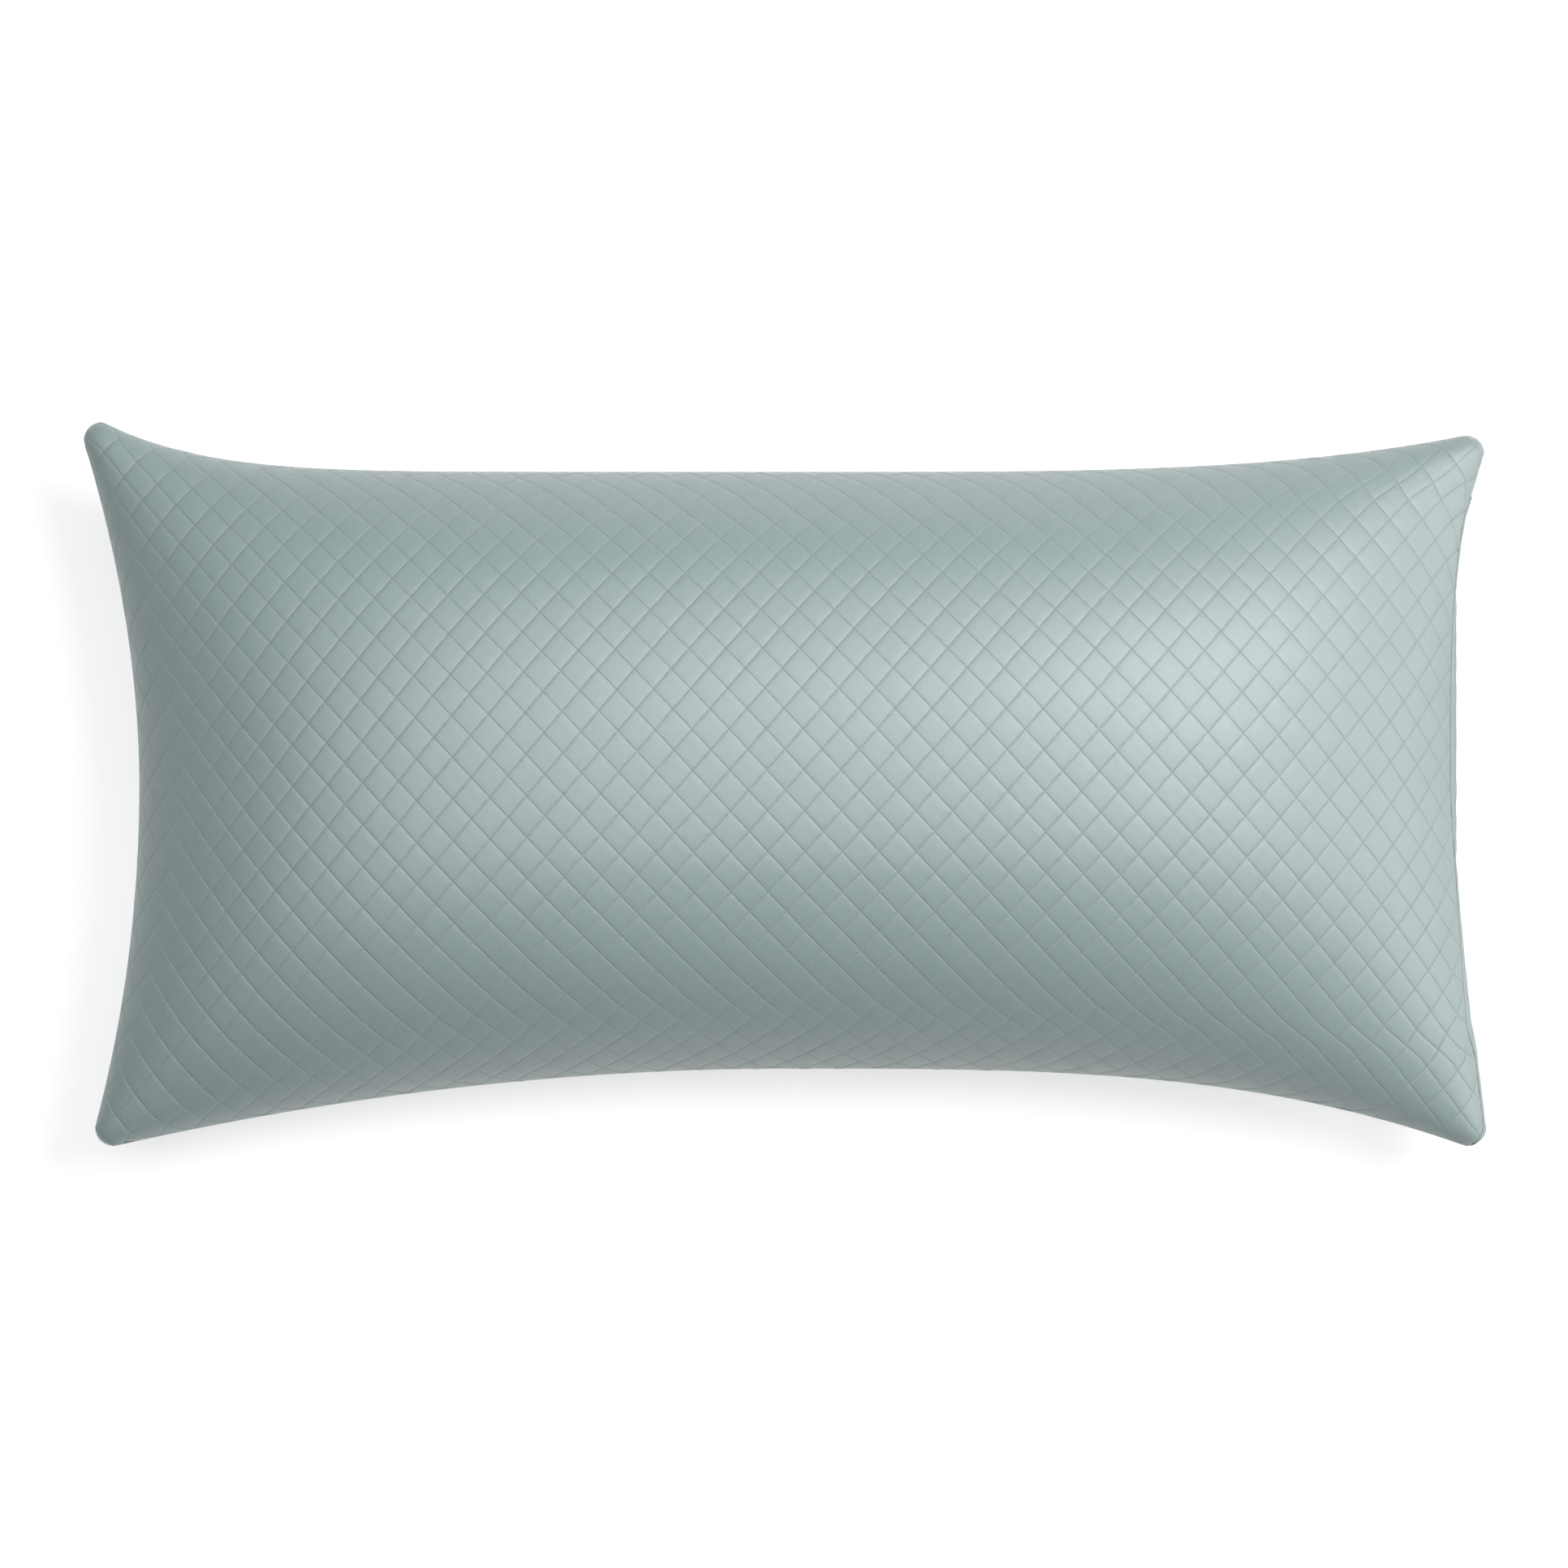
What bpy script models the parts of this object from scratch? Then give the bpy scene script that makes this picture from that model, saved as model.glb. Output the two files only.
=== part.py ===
"""King-size bed pillow in a zipped, quilted cover, lying flat.

Metres, +Z up. X runs along the pillow and Y across it. The origin is on the surface that the
pillow rests on, under the middle of its box. The zip is in the short side at +X.
"""

import math

import bmesh
import bpy
from mathutils import Vector

# ---- driving dimensions, metres -------------------------------------------------------------

PILLOW_LENGTH = 0.880  # tip to tip of the corner ears, along X
PILLOW_WIDTH = 0.455  # tip to tip of the corner ears, along Y
PILLOW_LOFT = 0.180  # crown above the surface
SEAM_HEIGHT = 0.078  # the edge seam above the surface

# How far each side is drawn in between its two ears, once the pillow is filled.
PULL_LEFT = 0.035
PULL_RIGHT = 0.0200
PULL_NEAR = 0.0487
PULL_FAR = 0.0314

# How late along a side the seam flares out to its ear: low and high end of each side.
FLARE_LEFT = (2.3, 1.9)
FLARE_RIGHT = (0.85, 1.2)
FLARE_NEAR = (1.95, 3.2)
FLARE_FAR = (7.0, 5.0)

EAR_RADIUS = 0.012  # rounding of each ear, seen from above
EDGE_HALF_HEIGHT = 0.007  # half the thickness of the stuffed edge
EDGE_ROUNDING = 0.008  # how far in from the seam that thickness is reached
CROWN_ALONG = (4.0, 0.8)  # power and steepness of the crown along X
CROWN_ACROSS = (2.5, 0.75)  # the same along Y
UNDERSIDE_FULLNESS = 2.2  # how broadly the underside settles on the surface; over 2 lies flat

FACE_THICKNESS = 0.0008  # satin microfibre
WADDING_THICKNESS = 0.0030
BACKING_THICKNESS = 0.0004
LINER_THICKNESS = 0.0004
LAYER_GAP = 0.0003  # air between two pieces that touch on the real pillow
SEAM_GAP = 0.0007  # half of the groove that the seam thread lies in

THREAD_RADIUS = 0.00035
ALLOWANCE_WIDTH = 0.005
ALLOWANCE_THICKNESS = 0.0010
ALLOWANCE_CLEARANCE = 0.0008
LINER_INSET = 0.018  # liner seam inside the cover seam
LINER_CLEARANCE = 0.0005
FILL_CLEARANCE = 0.0004

ZIP_FROM_NEAR_EAR = 0.1025  # closed end of the chain, along Y from the ear's tip
ZIP_FROM_FAR_EAR = 0.0775
ZIP_END_MARGIN = 0.008  # straight seam past each end of the chain
ZIP_TAPER = 0.024  # length over which the zip opening closes to the plain seam
OPENING_INSET = 0.005  # quilted edge behind the zip's face
CHAIN_HALF_WIDTH = 0.0022
CHAIN_THICKNESS = 0.0016
CHAIN_SLIT = 0.0005  # half the slit between the two rows
CHAIN_ROUNDING = 0.0003
TAPE_THICKNESS = 0.0005
TAPE_END_CLEARANCE = 0.0015
FACING_THICKNESS = 0.0010
FACING_GAP = 0.0004
FACING_EDGE_HEIGHT = 0.0042  # facing's folded edge above the middle of the chain
FACING_EDGE_INSET = 0.0006
STOP_LENGTH = 0.0022

SLIDER_LENGTH = 0.009
SLIDER_HALF_WIDTH = 0.0032
SLIDER_WALL = 0.0010
SLIDER_CLEARANCE = 0.0004
SLIDER_LIP = 0.0014  # how far its flanges reach down beside the chain
SLIDER_OVERLAP = 0.0003  # how far its walls run into each other where they join
POST_HALF_THICKNESS = 0.0002
POST_LENGTH = 0.0024
LUG_THICKNESS = 0.0008
LUG_LENGTH = 0.0040
PIN_RADIUS = 0.0005
PIN_BACK = 0.0015  # pin behind the slider's middle, towards the closed end
PIN_CLEARANCE = 0.00035
PULL_EYE_WALL = 0.00045
PULL_LENGTH = 0.024
PULL_WIDTH = 0.0050
PULL_THICKNESS = 0.0010
PULL_NECK_HALF_WIDTH = 0.0008

LABEL_LOW = -0.072  # care label along Y, on the left side
LABEL_WIDTH = 0.030
LABEL_REACH = 0.026  # how far under the pillow the label reaches
LABEL_THICKNESS = 0.0004
LABEL_CLEARANCE = 0.0012

STEPS_ALONG = 18
STEPS_ACROSS = 12
LABEL_STEPS = (6, 3)
STATION_SPACING = 0.05  # least share of the half width between a turn of the opening and a station
TIP_STEPS = 8  # of the half round at the end of the pull
ROUND_SIDES = 20  # of the pin, the eye and its bore
SMOOTH_ANGLE = math.radians(40)
DIFFERENCE = 1e-3  # step in u and v for slopes
ROUNDING_ERROR = 1e-6

# ---- worked out from them -------------------------------------------------------------------

ZIP_LOW = ZIP_FROM_NEAR_EAR - PILLOW_WIDTH / 2
ZIP_HIGH = PILLOW_WIDTH / 2 - ZIP_FROM_FAR_EAR
CHAIN_FACE = PILLOW_LENGTH / 2 - PULL_RIGHT  # plane of the zip's outer face
COVER_THICKNESS = FACE_THICKNESS + WADDING_THICKNESS + BACKING_THICKNESS + 2 * LAYER_GAP
STRAIGHT_LOW = (ZIP_LOW - ZIP_END_MARGIN) / (PILLOW_WIDTH / 2)
STRAIGHT_HIGH = (ZIP_HIGH + ZIP_END_MARGIN) / (PILLOW_WIDTH / 2)
TAPER = ZIP_TAPER / (PILLOW_WIDTH / 2)
FULL_ALONG = 1 - EAR_RADIUS / (PILLOW_LENGTH / 2)  # where a long side has reached its ear
FULL_ACROSS = 1 - EAR_RADIUS / (PILLOW_WIDTH / 2)  # and a short side
SLIDER_REST = ZIP_LOW + SLIDER_LENGTH / 2 + SLIDER_CLEARANCE
PLATE_TOP = CHAIN_FACE + SLIDER_CLEARANCE + SLIDER_WALL
PIN_X = PLATE_TOP + LAYER_GAP + PULL_EYE_WALL + PIN_CLEARANCE + PIN_RADIUS


class Form:
    """The closed shape of one case: its seam outline, its crown and its underside."""

    def __init__(self, inset, top_inset, seam_gap):
        self.half_length = PILLOW_LENGTH / 2 - inset
        self.half_width = PILLOW_WIDTH / 2 - inset
        self.crown = PILLOW_LOFT - SEAM_HEIGHT - top_inset
        self.depth = SEAM_HEIGHT - top_inset
        self.seam_gap = seam_gap

    def sides(self, u, v):
        """Half length and half width of the outline at this place."""
        if u < 0:
            along = self.half_length - PULL_LEFT * (1 - eased(v / FULL_ACROSS, FLARE_LEFT))
        else:
            along = self.half_length - PULL_RIGHT * (1 - zip_side_flare(v))
        if v < 0:
            across = self.half_width - PULL_NEAR * (1 - eased(u / FULL_ALONG, FLARE_NEAR))
        else:
            across = self.half_width - PULL_FAR * (1 - eased(u / FULL_ALONG, FLARE_FAR))
        return along, across

    def plan(self, u, v):
        """Where (u, v) of the square patch falls, seen from above, with its ears rounded."""
        along, across = self.sides(u, v)
        p = max(0.0, 1 - (1 - abs(u)) * along / EAR_RADIUS)
        q = max(0.0, 1 - (1 - abs(v)) * across / EAR_RADIUS)
        x = along - EAR_RADIUS + EAR_RADIUS * p * math.sqrt(1 - q * q / 2)
        y = across - EAR_RADIUS + EAR_RADIUS * q * math.sqrt(1 - p * p / 2)
        x = x if p > 0 else abs(u) * along
        y = y if q > 0 else abs(v) * across
        return math.copysign(x, u), math.copysign(y, v)

    def point(self, u, v, top):
        """A point of the outer surface, above the seam when top is 1 and below it when -1."""
        x, y = self.plan(u, v)
        along, across = self.sides(u, v)
        edge = edge_rise((1 - abs(u)) * along) * edge_rise((1 - abs(v)) * across)
        dome = crown_curve(u, CROWN_ALONG) * crown_curve(v, CROWN_ACROSS)
        full = self.crown if top > 0 else self.depth
        if top < 0:
            dome = settled(UNDERSIDE_FULLNESS * dome)
        rise = self.seam_gap + (EDGE_HALF_HEIGHT - self.seam_gap) * edge
        rise += (full - EDGE_HALF_HEIGHT) * dome
        return Vector((x, y, SEAM_HEIGHT + top * rise))

    def outward(self, u, v, top):
        """The outward direction of the surface; level along the seam, so that layers end there."""
        at_side, at_end = abs(u) > 1 - ROUNDING_ERROR, abs(v) > 1 - ROUNDING_ERROR
        if at_side and at_end:
            return Vector((math.copysign(1, u), math.copysign(1, v), 0)).normalized()
        if at_side or at_end:
            run = self.slope(u, v, top, 1 if at_side else 0)
            turn = Vector((run.y, -run.x, 0)).normalized()
            ahead = math.copysign(1, u) * turn.x if at_side else math.copysign(1, v) * turn.y
            return turn if ahead > 0 else -turn
        return self.slope(u, v, top, 0).cross(self.slope(u, v, top, 1)).normalized() * top

    def slope(self, u, v, top, which):
        step = (DIFFERENCE, 0) if which == 0 else (0, DIFFERENCE)
        after = self.point(min(1, u + step[0]), min(1, v + step[1]), top)
        before = self.point(max(-1, u - step[0]), max(-1, v - step[1]), top)
        return after - before

    def skin(self, u, v, top, depth):
        """The point this deep under the outer surface; a negative depth stands proud of it."""
        return self.point(u, v, top) - self.outward(u, v, top) * depth


def eased(t, powers):
    """Grows from 0 at mid-side to 1 at the ears, as late as the power of that end says."""
    return min(1.0, abs(t)) ** powers[0 if t < 0 else 1]


def zip_side_flare(v):
    """The zip holds its side straight, so this side flares only past the zip's ends."""
    if STRAIGHT_LOW <= v <= STRAIGHT_HIGH:
        return 0.0
    straight = STRAIGHT_LOW if v < 0 else STRAIGHT_HIGH
    flared = (abs(v) - abs(straight)) / (FULL_ACROSS - abs(straight))
    return eased(math.copysign(flared, v), FLARE_RIGHT)


def edge_rise(distance):
    """A quarter round, from 0 at the seam to 1 where the edge has its full thickness."""
    left = max(0.0, 1 - distance / EDGE_ROUNDING)
    return math.sqrt(max(0.0, 1 - left * left))


def crown_curve(t, shape):
    return max(0.0, 1 - abs(t) ** shape[0]) ** shape[1]


def settled(fullness):
    """Grows to 1 and stays there, with no crease where the cloth meets the surface."""
    return 1.0 if fullness >= 2 else fullness - fullness * fullness / 4


def opening(v):
    """1 along the zip, falling to 0 where the two panels meet in the plain seam again."""
    if v < STRAIGHT_LOW:
        return max(0.0, 1 - (STRAIGHT_LOW - v) / TAPER)
    if v > STRAIGHT_HIGH:
        return max(0.0, 1 - (v - STRAIGHT_HIGH) / TAPER)
    return 1.0


def zip_edge(v):
    """The u at which a cover panel ends on the zip side."""
    return 1 - OPENING_INSET * opening(v) / CHAIN_FACE


def eased_steps(count):
    """Stations from -1 to 1, closer together towards both seams."""
    return [math.sin(math.pi * (i / count - 0.5)) for i in range(count + 1)]


def stations_across():
    """Stations along Y for the cover, with one at each turn of the zip opening."""
    turns = []
    for share in (0, 0.5, 1):
        turns += [STRAIGHT_LOW - share * TAPER, STRAIGHT_HIGH + share * TAPER]
    plain = [t for t in eased_steps(STEPS_ACROSS)
             if min(abs(t - turn) for turn in turns) > STATION_SPACING]
    return sorted(plain + turns)


COVER = Form(0, 0, SEAM_GAP)
LINER = Form(LINER_INSET, COVER_THICKNESS + LINER_CLEARANCE, SEAM_GAP)
FILL = Form(LINER_INSET, COVER_THICKNESS + LINER_CLEARANCE, 0)
ALONG = eased_steps(STEPS_ALONG)
ACROSS = stations_across()

# ---- mesh helpers ---------------------------------------------------------------------------


def material(name, colour, roughness, metallic=0.0):
    made = bpy.data.materials.get(name) or bpy.data.materials.new(name)
    made.use_nodes = True
    shader = made.node_tree.nodes["Principled BSDF"]
    shader.inputs["Base Color"].default_value = (*colour, 1)
    shader.inputs["Roughness"].default_value = roughness
    shader.inputs["Metallic"].default_value = metallic
    return made


def add_object(name, mesh, finish, parent=None):
    made = bpy.data.objects.new(name, mesh)
    made.parent = parent
    mesh.materials.append(finish)
    bpy.context.scene.collection.objects.link(made)
    return made


def mesh_from(name, bm, smooth=False):
    bmesh.ops.recalc_face_normals(bm, faces=bm.faces)
    if bm.calc_volume(signed=True) < 0:
        bmesh.ops.reverse_faces(bm, faces=bm.faces)
    mesh = bpy.data.meshes.new(name)
    bm.to_mesh(mesh)
    bm.free()
    if smooth:
        mesh.shade_smooth()
        mesh.set_sharp_from_angle(angle=SMOOTH_ANGLE)
    return mesh


def grid_faces(bm, rows):
    """Fills a grid of points with triangles, split towards its corners, and returns its vertices.

    Every layer is split the same way, so that nested layers stay apart between their points.
    """
    verts = [[bm.verts.new(point) for point in row] for row in rows]
    for j, (low, high) in enumerate(zip(verts, verts[1:])):
        for i in range(len(low) - 1):
            a, b, c, d = low[i], low[i + 1], high[i + 1], high[i]
            if (2 * i < len(low) - 1) == (2 * j < len(verts) - 1):
                corners = (a, b, c), (a, c, d)
            else:
                corners = (a, b, d), (b, c, d)
            for corner in corners:
                bm.faces.new(corner)
    return verts


def rim_of(verts):
    """The vertices round the edge of a grid, in order."""
    sides = [row[-1] for row in verts[1:-1]], [row[0] for row in reversed(verts[1:-1])]
    return verts[0] + sides[0] + verts[-1][::-1] + sides[1]


def band(bm, low, high):
    """Joins two closed rings of vertices with a ring of faces."""
    for i in range(len(low)):
        j = (i + 1) % len(low)
        bm.faces.new((low[i], low[j], high[j], high[i]))


def panel(name, form, top, depths, finish, along, across):
    """One layer of a case, between two depths under its outer surface, as a closed sheet."""
    bm = bmesh.new()
    rims = []
    for depth in depths:
        rows = [[form.skin(*ends(form, u, v), top, depth) for u in along] for v in across]
        rims.append(rim_of(grid_faces(bm, rows)))
    band(bm, *rims)
    return add_object(name, mesh_from(name, bm, smooth=True), finish)


def ends(form, u, v):
    """Keeps the cover's panels behind the zip; other cases run right to their own seam."""
    return (u * zip_edge(v), v) if form is COVER and u > 0 else (u, v)


def loft(bm, sections):
    """A closed bar through sections that all have the same number of points."""
    rings = [[bm.verts.new(point) for point in section] for section in sections]
    for low, high in zip(rings, rings[1:]):
        band(bm, low, high)
    bm.faces.new(rings[0])
    bm.faces.new(rings[-1])


def box(bm, low, high):
    """A closed box between two opposite corners."""
    outline = (low[0], low[1]), (high[0], low[1]), (high[0], high[1]), (low[0], high[1])
    loft(bm, [[Vector((x, y, z)) for x, y in outline] for z in (low[2], high[2])])


def joined(name, base, others, operation="UNION"):
    """Booleans each of the other meshes with the base, through modifiers that stay on it."""
    for i, other in enumerate(others):
        cutter = bpy.data.objects.new(f"{name}_tool_{i}", other)
        cutter.hide_render = True
        cutter.display_type = "WIRE"
        cutter.parent = base
        bpy.context.scene.collection.objects.link(cutter)
        step = base.modifiers.new(f"{operation.lower()} {i}", "BOOLEAN")
        step.operation = operation
        step.object = cutter


def box_mesh(name, low, high):
    bm = bmesh.new()
    box(bm, low, high)
    return mesh_from(name, bm)


def drum_mesh(name, radius, half_height, centre=(0, 0, 0)):
    """A cylinder along Z."""
    bm = bmesh.new()
    bmesh.ops.create_cone(bm, cap_ends=True, segments=ROUND_SIDES, radius1=radius,
                          radius2=radius, depth=2 * half_height)
    bmesh.ops.translate(bm, verts=bm.verts, vec=centre)
    return mesh_from(name, bm, smooth=True)


def seam_stations():
    """(u, v) along the plain seam, from the far end of the zip round to its near end."""
    far_end, near_end = STRAIGHT_HIGH + TAPER - ROUNDING_ERROR, STRAIGHT_LOW - TAPER + ROUNDING_ERROR
    path = [(1, v) for v in ACROSS if v >= far_end]
    path += [(-u, 1) for u in ALONG[1:]]
    path += [(-1, v) for v in reversed(ACROSS[:-1])]
    path += [(u, -1) for u in ALONG[1:]]
    path += [(1, v) for v in ACROSS[1:] if v <= near_end]
    return path


# ---- cover, liner and filling ---------------------------------------------------------------


def build_cover():
    satin = material("satin_microfibre", (0.44, 0.50, 0.50), 0.55)
    wadding = material("polyester_wadding", (0.86, 0.86, 0.84), 0.9)
    backing = material("spunbond_backing", (0.78, 0.80, 0.80), 0.8)
    layers = (("face_fabric", FACE_THICKNESS, satin), ("wadding", WADDING_THICKNESS, wadding),
              ("backing", BACKING_THICKNESS, backing))
    for side, top in (("front", 1), ("back", -1)):
        depth = 0.0
        for layer, thickness, finish in layers:
            depths = (depth, depth + thickness)
            panel(f"{side}_{layer}", COVER, top, depths, finish, ALONG, ACROSS)
            depth += thickness + LAYER_GAP


def add_thread(name, points, closed_ring, finish):
    """A row of stitches as one cord through these points."""
    thread = bpy.data.curves.new(name, "CURVE")
    thread.dimensions = "3D"
    thread.bevel_depth = THREAD_RADIUS
    thread.bevel_resolution = 1
    thread.use_fill_caps = True
    spline = thread.splines.new("POLY")
    spline.points.add(len(points) - 1)
    spline.use_cyclic_u = closed_ring
    for at, point in zip(spline.points, points):
        at.co = (*point, 1)
    add_object(name, thread, finish)


def build_seam():
    """The stitches that join the two panels, and the overlocked edges turned in behind them."""
    path = seam_stations()
    points = [seam_point(COVER, u, v, THREAD_RADIUS + LAYER_GAP / 2) for u, v in path]
    add_thread("seam_thread", points, False, material("polyester_thread", (0.40, 0.46, 0.46), 0.5))

    start = COVER_THICKNESS + ALLOWANCE_CLEARANCE
    rise = Vector((0, 0, ALLOWANCE_THICKNESS / 2))
    sections = []
    for u, v in path[1:-1]:
        outer = seam_point(COVER, u, v, start)
        inner = seam_point(COVER, u, v, start + ALLOWANCE_WIDTH)
        sections.append([outer - rise, inner - rise, inner + rise, outer + rise])
    bm = bmesh.new()
    loft(bm, sections)
    add_object("seam_allowance", mesh_from("seam_allowance", bm),
               material("overlocked_edge", (0.52, 0.57, 0.57), 0.8))


def seam_point(form, u, v, depth):
    """A point in the plane of the seam, this far in from a case's outline."""
    inward = form.outward(u, v, 1) * -depth
    return Vector((*form.plan(u, v), SEAM_HEIGHT)) + Vector((inward.x, inward.y, 0))


def build_liner_and_fill():
    cotton = material("liner_cloth", (0.90, 0.90, 0.88), 0.85)
    across = eased_steps(STEPS_ACROSS)
    for side, top in (("front", 1), ("back", -1)):
        panel(f"liner_{side}", LINER, top, (0, LINER_THICKNESS), cotton, ALONG, across)

    depth = LINER_THICKNESS + FILL_CLEARANCE
    bm = bmesh.new()
    for top in (1, -1):
        grid_faces(bm, [[FILL.skin(u, v, top, depth) for u in ALONG] for v in across])
    bmesh.ops.remove_doubles(bm, verts=bm.verts, dist=ROUNDING_ERROR)
    add_object("fibre_fill", mesh_from("fibre_fill", bm, smooth=True),
               material("polyester_fibre", (0.92, 0.92, 0.91), 0.95))

    path = [(-u, 1) for u in ALONG[1:]] + [(-1, -v) for v in across[1:]]
    path += [(u, -1) for u in ALONG[1:]] + [(1, v) for v in across[1:]]
    points = [seam_point(LINER, u, v, LINER_THICKNESS / 2) for u, v in path]
    add_thread("liner_seam_thread", points, True, material("liner_thread", (0.88, 0.88, 0.86), 0.6))


def build_care_label():
    """A small plain label, sewn into the left seam and lying against the underside."""
    u_end = -1 + LABEL_REACH / (PILLOW_LENGTH / 2 - PULL_LEFT)
    along = [-1 + (u_end + 1) * (i / LABEL_STEPS[0]) ** 2 for i in range(1, LABEL_STEPS[0] + 1)]
    low, wide = LABEL_LOW / (PILLOW_WIDTH / 2), LABEL_WIDTH / (PILLOW_WIDTH / 2)
    across = [low + wide * i / LABEL_STEPS[1] for i in range(LABEL_STEPS[1] + 1)]
    depths = (-LABEL_CLEARANCE - LABEL_THICKNESS, -LABEL_CLEARANCE)
    panel("care_label", COVER, -1, depths, material("label_satin", (0.93, 0.93, 0.91), 0.45),
          along, across)


# ---- zip ------------------------------------------------------------------------------------


def mirrored(point, top):
    """The same point, or for the underside its reflection in the plane of the seam."""
    return Vector((point.x, point.y, SEAM_HEIGHT + top * (point.z - SEAM_HEIGHT)))


def facing_rails(v, top):
    """The facing's edge by its own quilted panel and its edge by the chain, turned to lie above."""
    u = zip_edge(v)
    rim = mirrored(COVER.point(u, v, top), top)
    beyond = mirrored(COVER.point(min(1, u + DIFFERENCE), v, top), top)
    down = (beyond - rim).normalized()
    side = COVER.sides(1, v)[0]
    height = FACING_EDGE_HEIGHT * opening(v) + LAYER_GAP * (1 - opening(v))
    fold = Vector((side - FACING_EDGE_INSET, rim.y, SEAM_HEIGHT + height))
    start = rim + down * FACING_GAP
    return Vector((start.x, rim.y, start.z)), fold


def inward_of(start, fold):
    run = (fold - start).normalized()
    return Vector((run.z, 0, -run.x))


def build_facings():
    satin = material("satin_microfibre", (0.44, 0.50, 0.50), 0.55)
    limit = TAPER / 2 + ROUNDING_ERROR
    stations = [v for v in ACROSS if STRAIGHT_LOW - limit <= v <= STRAIGHT_HIGH + limit]
    for side, top in (("front", 1), ("back", -1)):
        sections = []
        for v in stations:
            start, fold = facing_rails(v, top)
            inward = inward_of(start, fold) * FACING_THICKNESS
            section = (start, fold, fold + inward, start + inward)
            sections.append([mirrored(point, top) for point in section])
        bm = bmesh.new()
        loft(bm, sections)
        name = f"zip_facing_{side}"
        add_object(name, mesh_from(name, bm), satin)


def tape_section(v, top):
    """The tape's outline here: flat behind the chain, then slanting in behind the facing."""
    start, fold = facing_rails(v, top)
    run = (start - fold).normalized()
    inward = inward_of(start, fold)
    front_x = CHAIN_FACE - CHAIN_THICKNESS - LAYER_GAP
    slit = SEAM_HEIGHT + CHAIN_SLIT
    outer, inner = FACING_THICKNESS + LAYER_GAP, FACING_THICKNESS + LAYER_GAP + TAPE_THICKNESS
    section = []
    for depth, x in ((outer, front_x), (inner, front_x - TAPE_THICKNESS)):
        base = fold + inward * depth
        reach = (start - fold).length - TAPE_END_CLEARANCE
        bend = base + run * ((x - base.x) / run.x)
        section.append([Vector((x, start.y, slit)), bend, base + run * reach])
    return [mirrored(point, top) for point in section[0] + section[1][::-1]]


def build_tapes_and_chain():
    tape = material("zip_tape", (0.40, 0.46, 0.46), 0.8)
    coil = material("zip_coil", (0.42, 0.48, 0.48), 0.4)
    low, high = STRAIGHT_LOW - ROUNDING_ERROR, STRAIGHT_HIGH + ROUNDING_ERROR
    stations = [v for v in ACROSS if low <= v <= high]
    for side, top in (("front", 1), ("back", -1)):
        bm = bmesh.new()
        loft(bm, [tape_section(v, top) for v in stations])
        add_object(f"zip_tape_{side}", mesh_from(f"zip_tape_{side}", bm), tape)

        low = SEAM_HEIGHT + min(top * CHAIN_SLIT, top * CHAIN_HALF_WIDTH)
        high = SEAM_HEIGHT + max(top * CHAIN_SLIT, top * CHAIN_HALF_WIDTH)
        row = add_object(f"zip_teeth_{side}", box_mesh(
            f"zip_teeth_{side}", (CHAIN_FACE - CHAIN_THICKNESS, ZIP_LOW, low),
            (CHAIN_FACE, ZIP_HIGH, high)), coil)
        bevel = row.modifiers.new("rounded row", "BEVEL")
        bevel.width = CHAIN_ROUNDING
        bevel.segments = 1
        nickel = material("nickel_plate", (0.62, 0.63, 0.63), 0.3, 1.0)
        add_object(f"zip_top_stop_{side}", box_mesh(
            f"zip_top_stop_{side}",
            (CHAIN_FACE - CHAIN_THICKNESS, ZIP_LOW - LAYER_GAP - STOP_LENGTH, low),
            (CHAIN_FACE, ZIP_LOW - LAYER_GAP, high)), nickel)

    add_object("zip_bottom_stop", box_mesh(
        "zip_bottom_stop",
        (CHAIN_FACE - CHAIN_THICKNESS, ZIP_HIGH + LAYER_GAP, SEAM_HEIGHT - CHAIN_HALF_WIDTH),
        (CHAIN_FACE, ZIP_HIGH + LAYER_GAP + STOP_LENGTH, SEAM_HEIGHT + CHAIN_HALF_WIDTH)),
        material("nickel_plate", (0.62, 0.63, 0.63), 0.3, 1.0))


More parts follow.
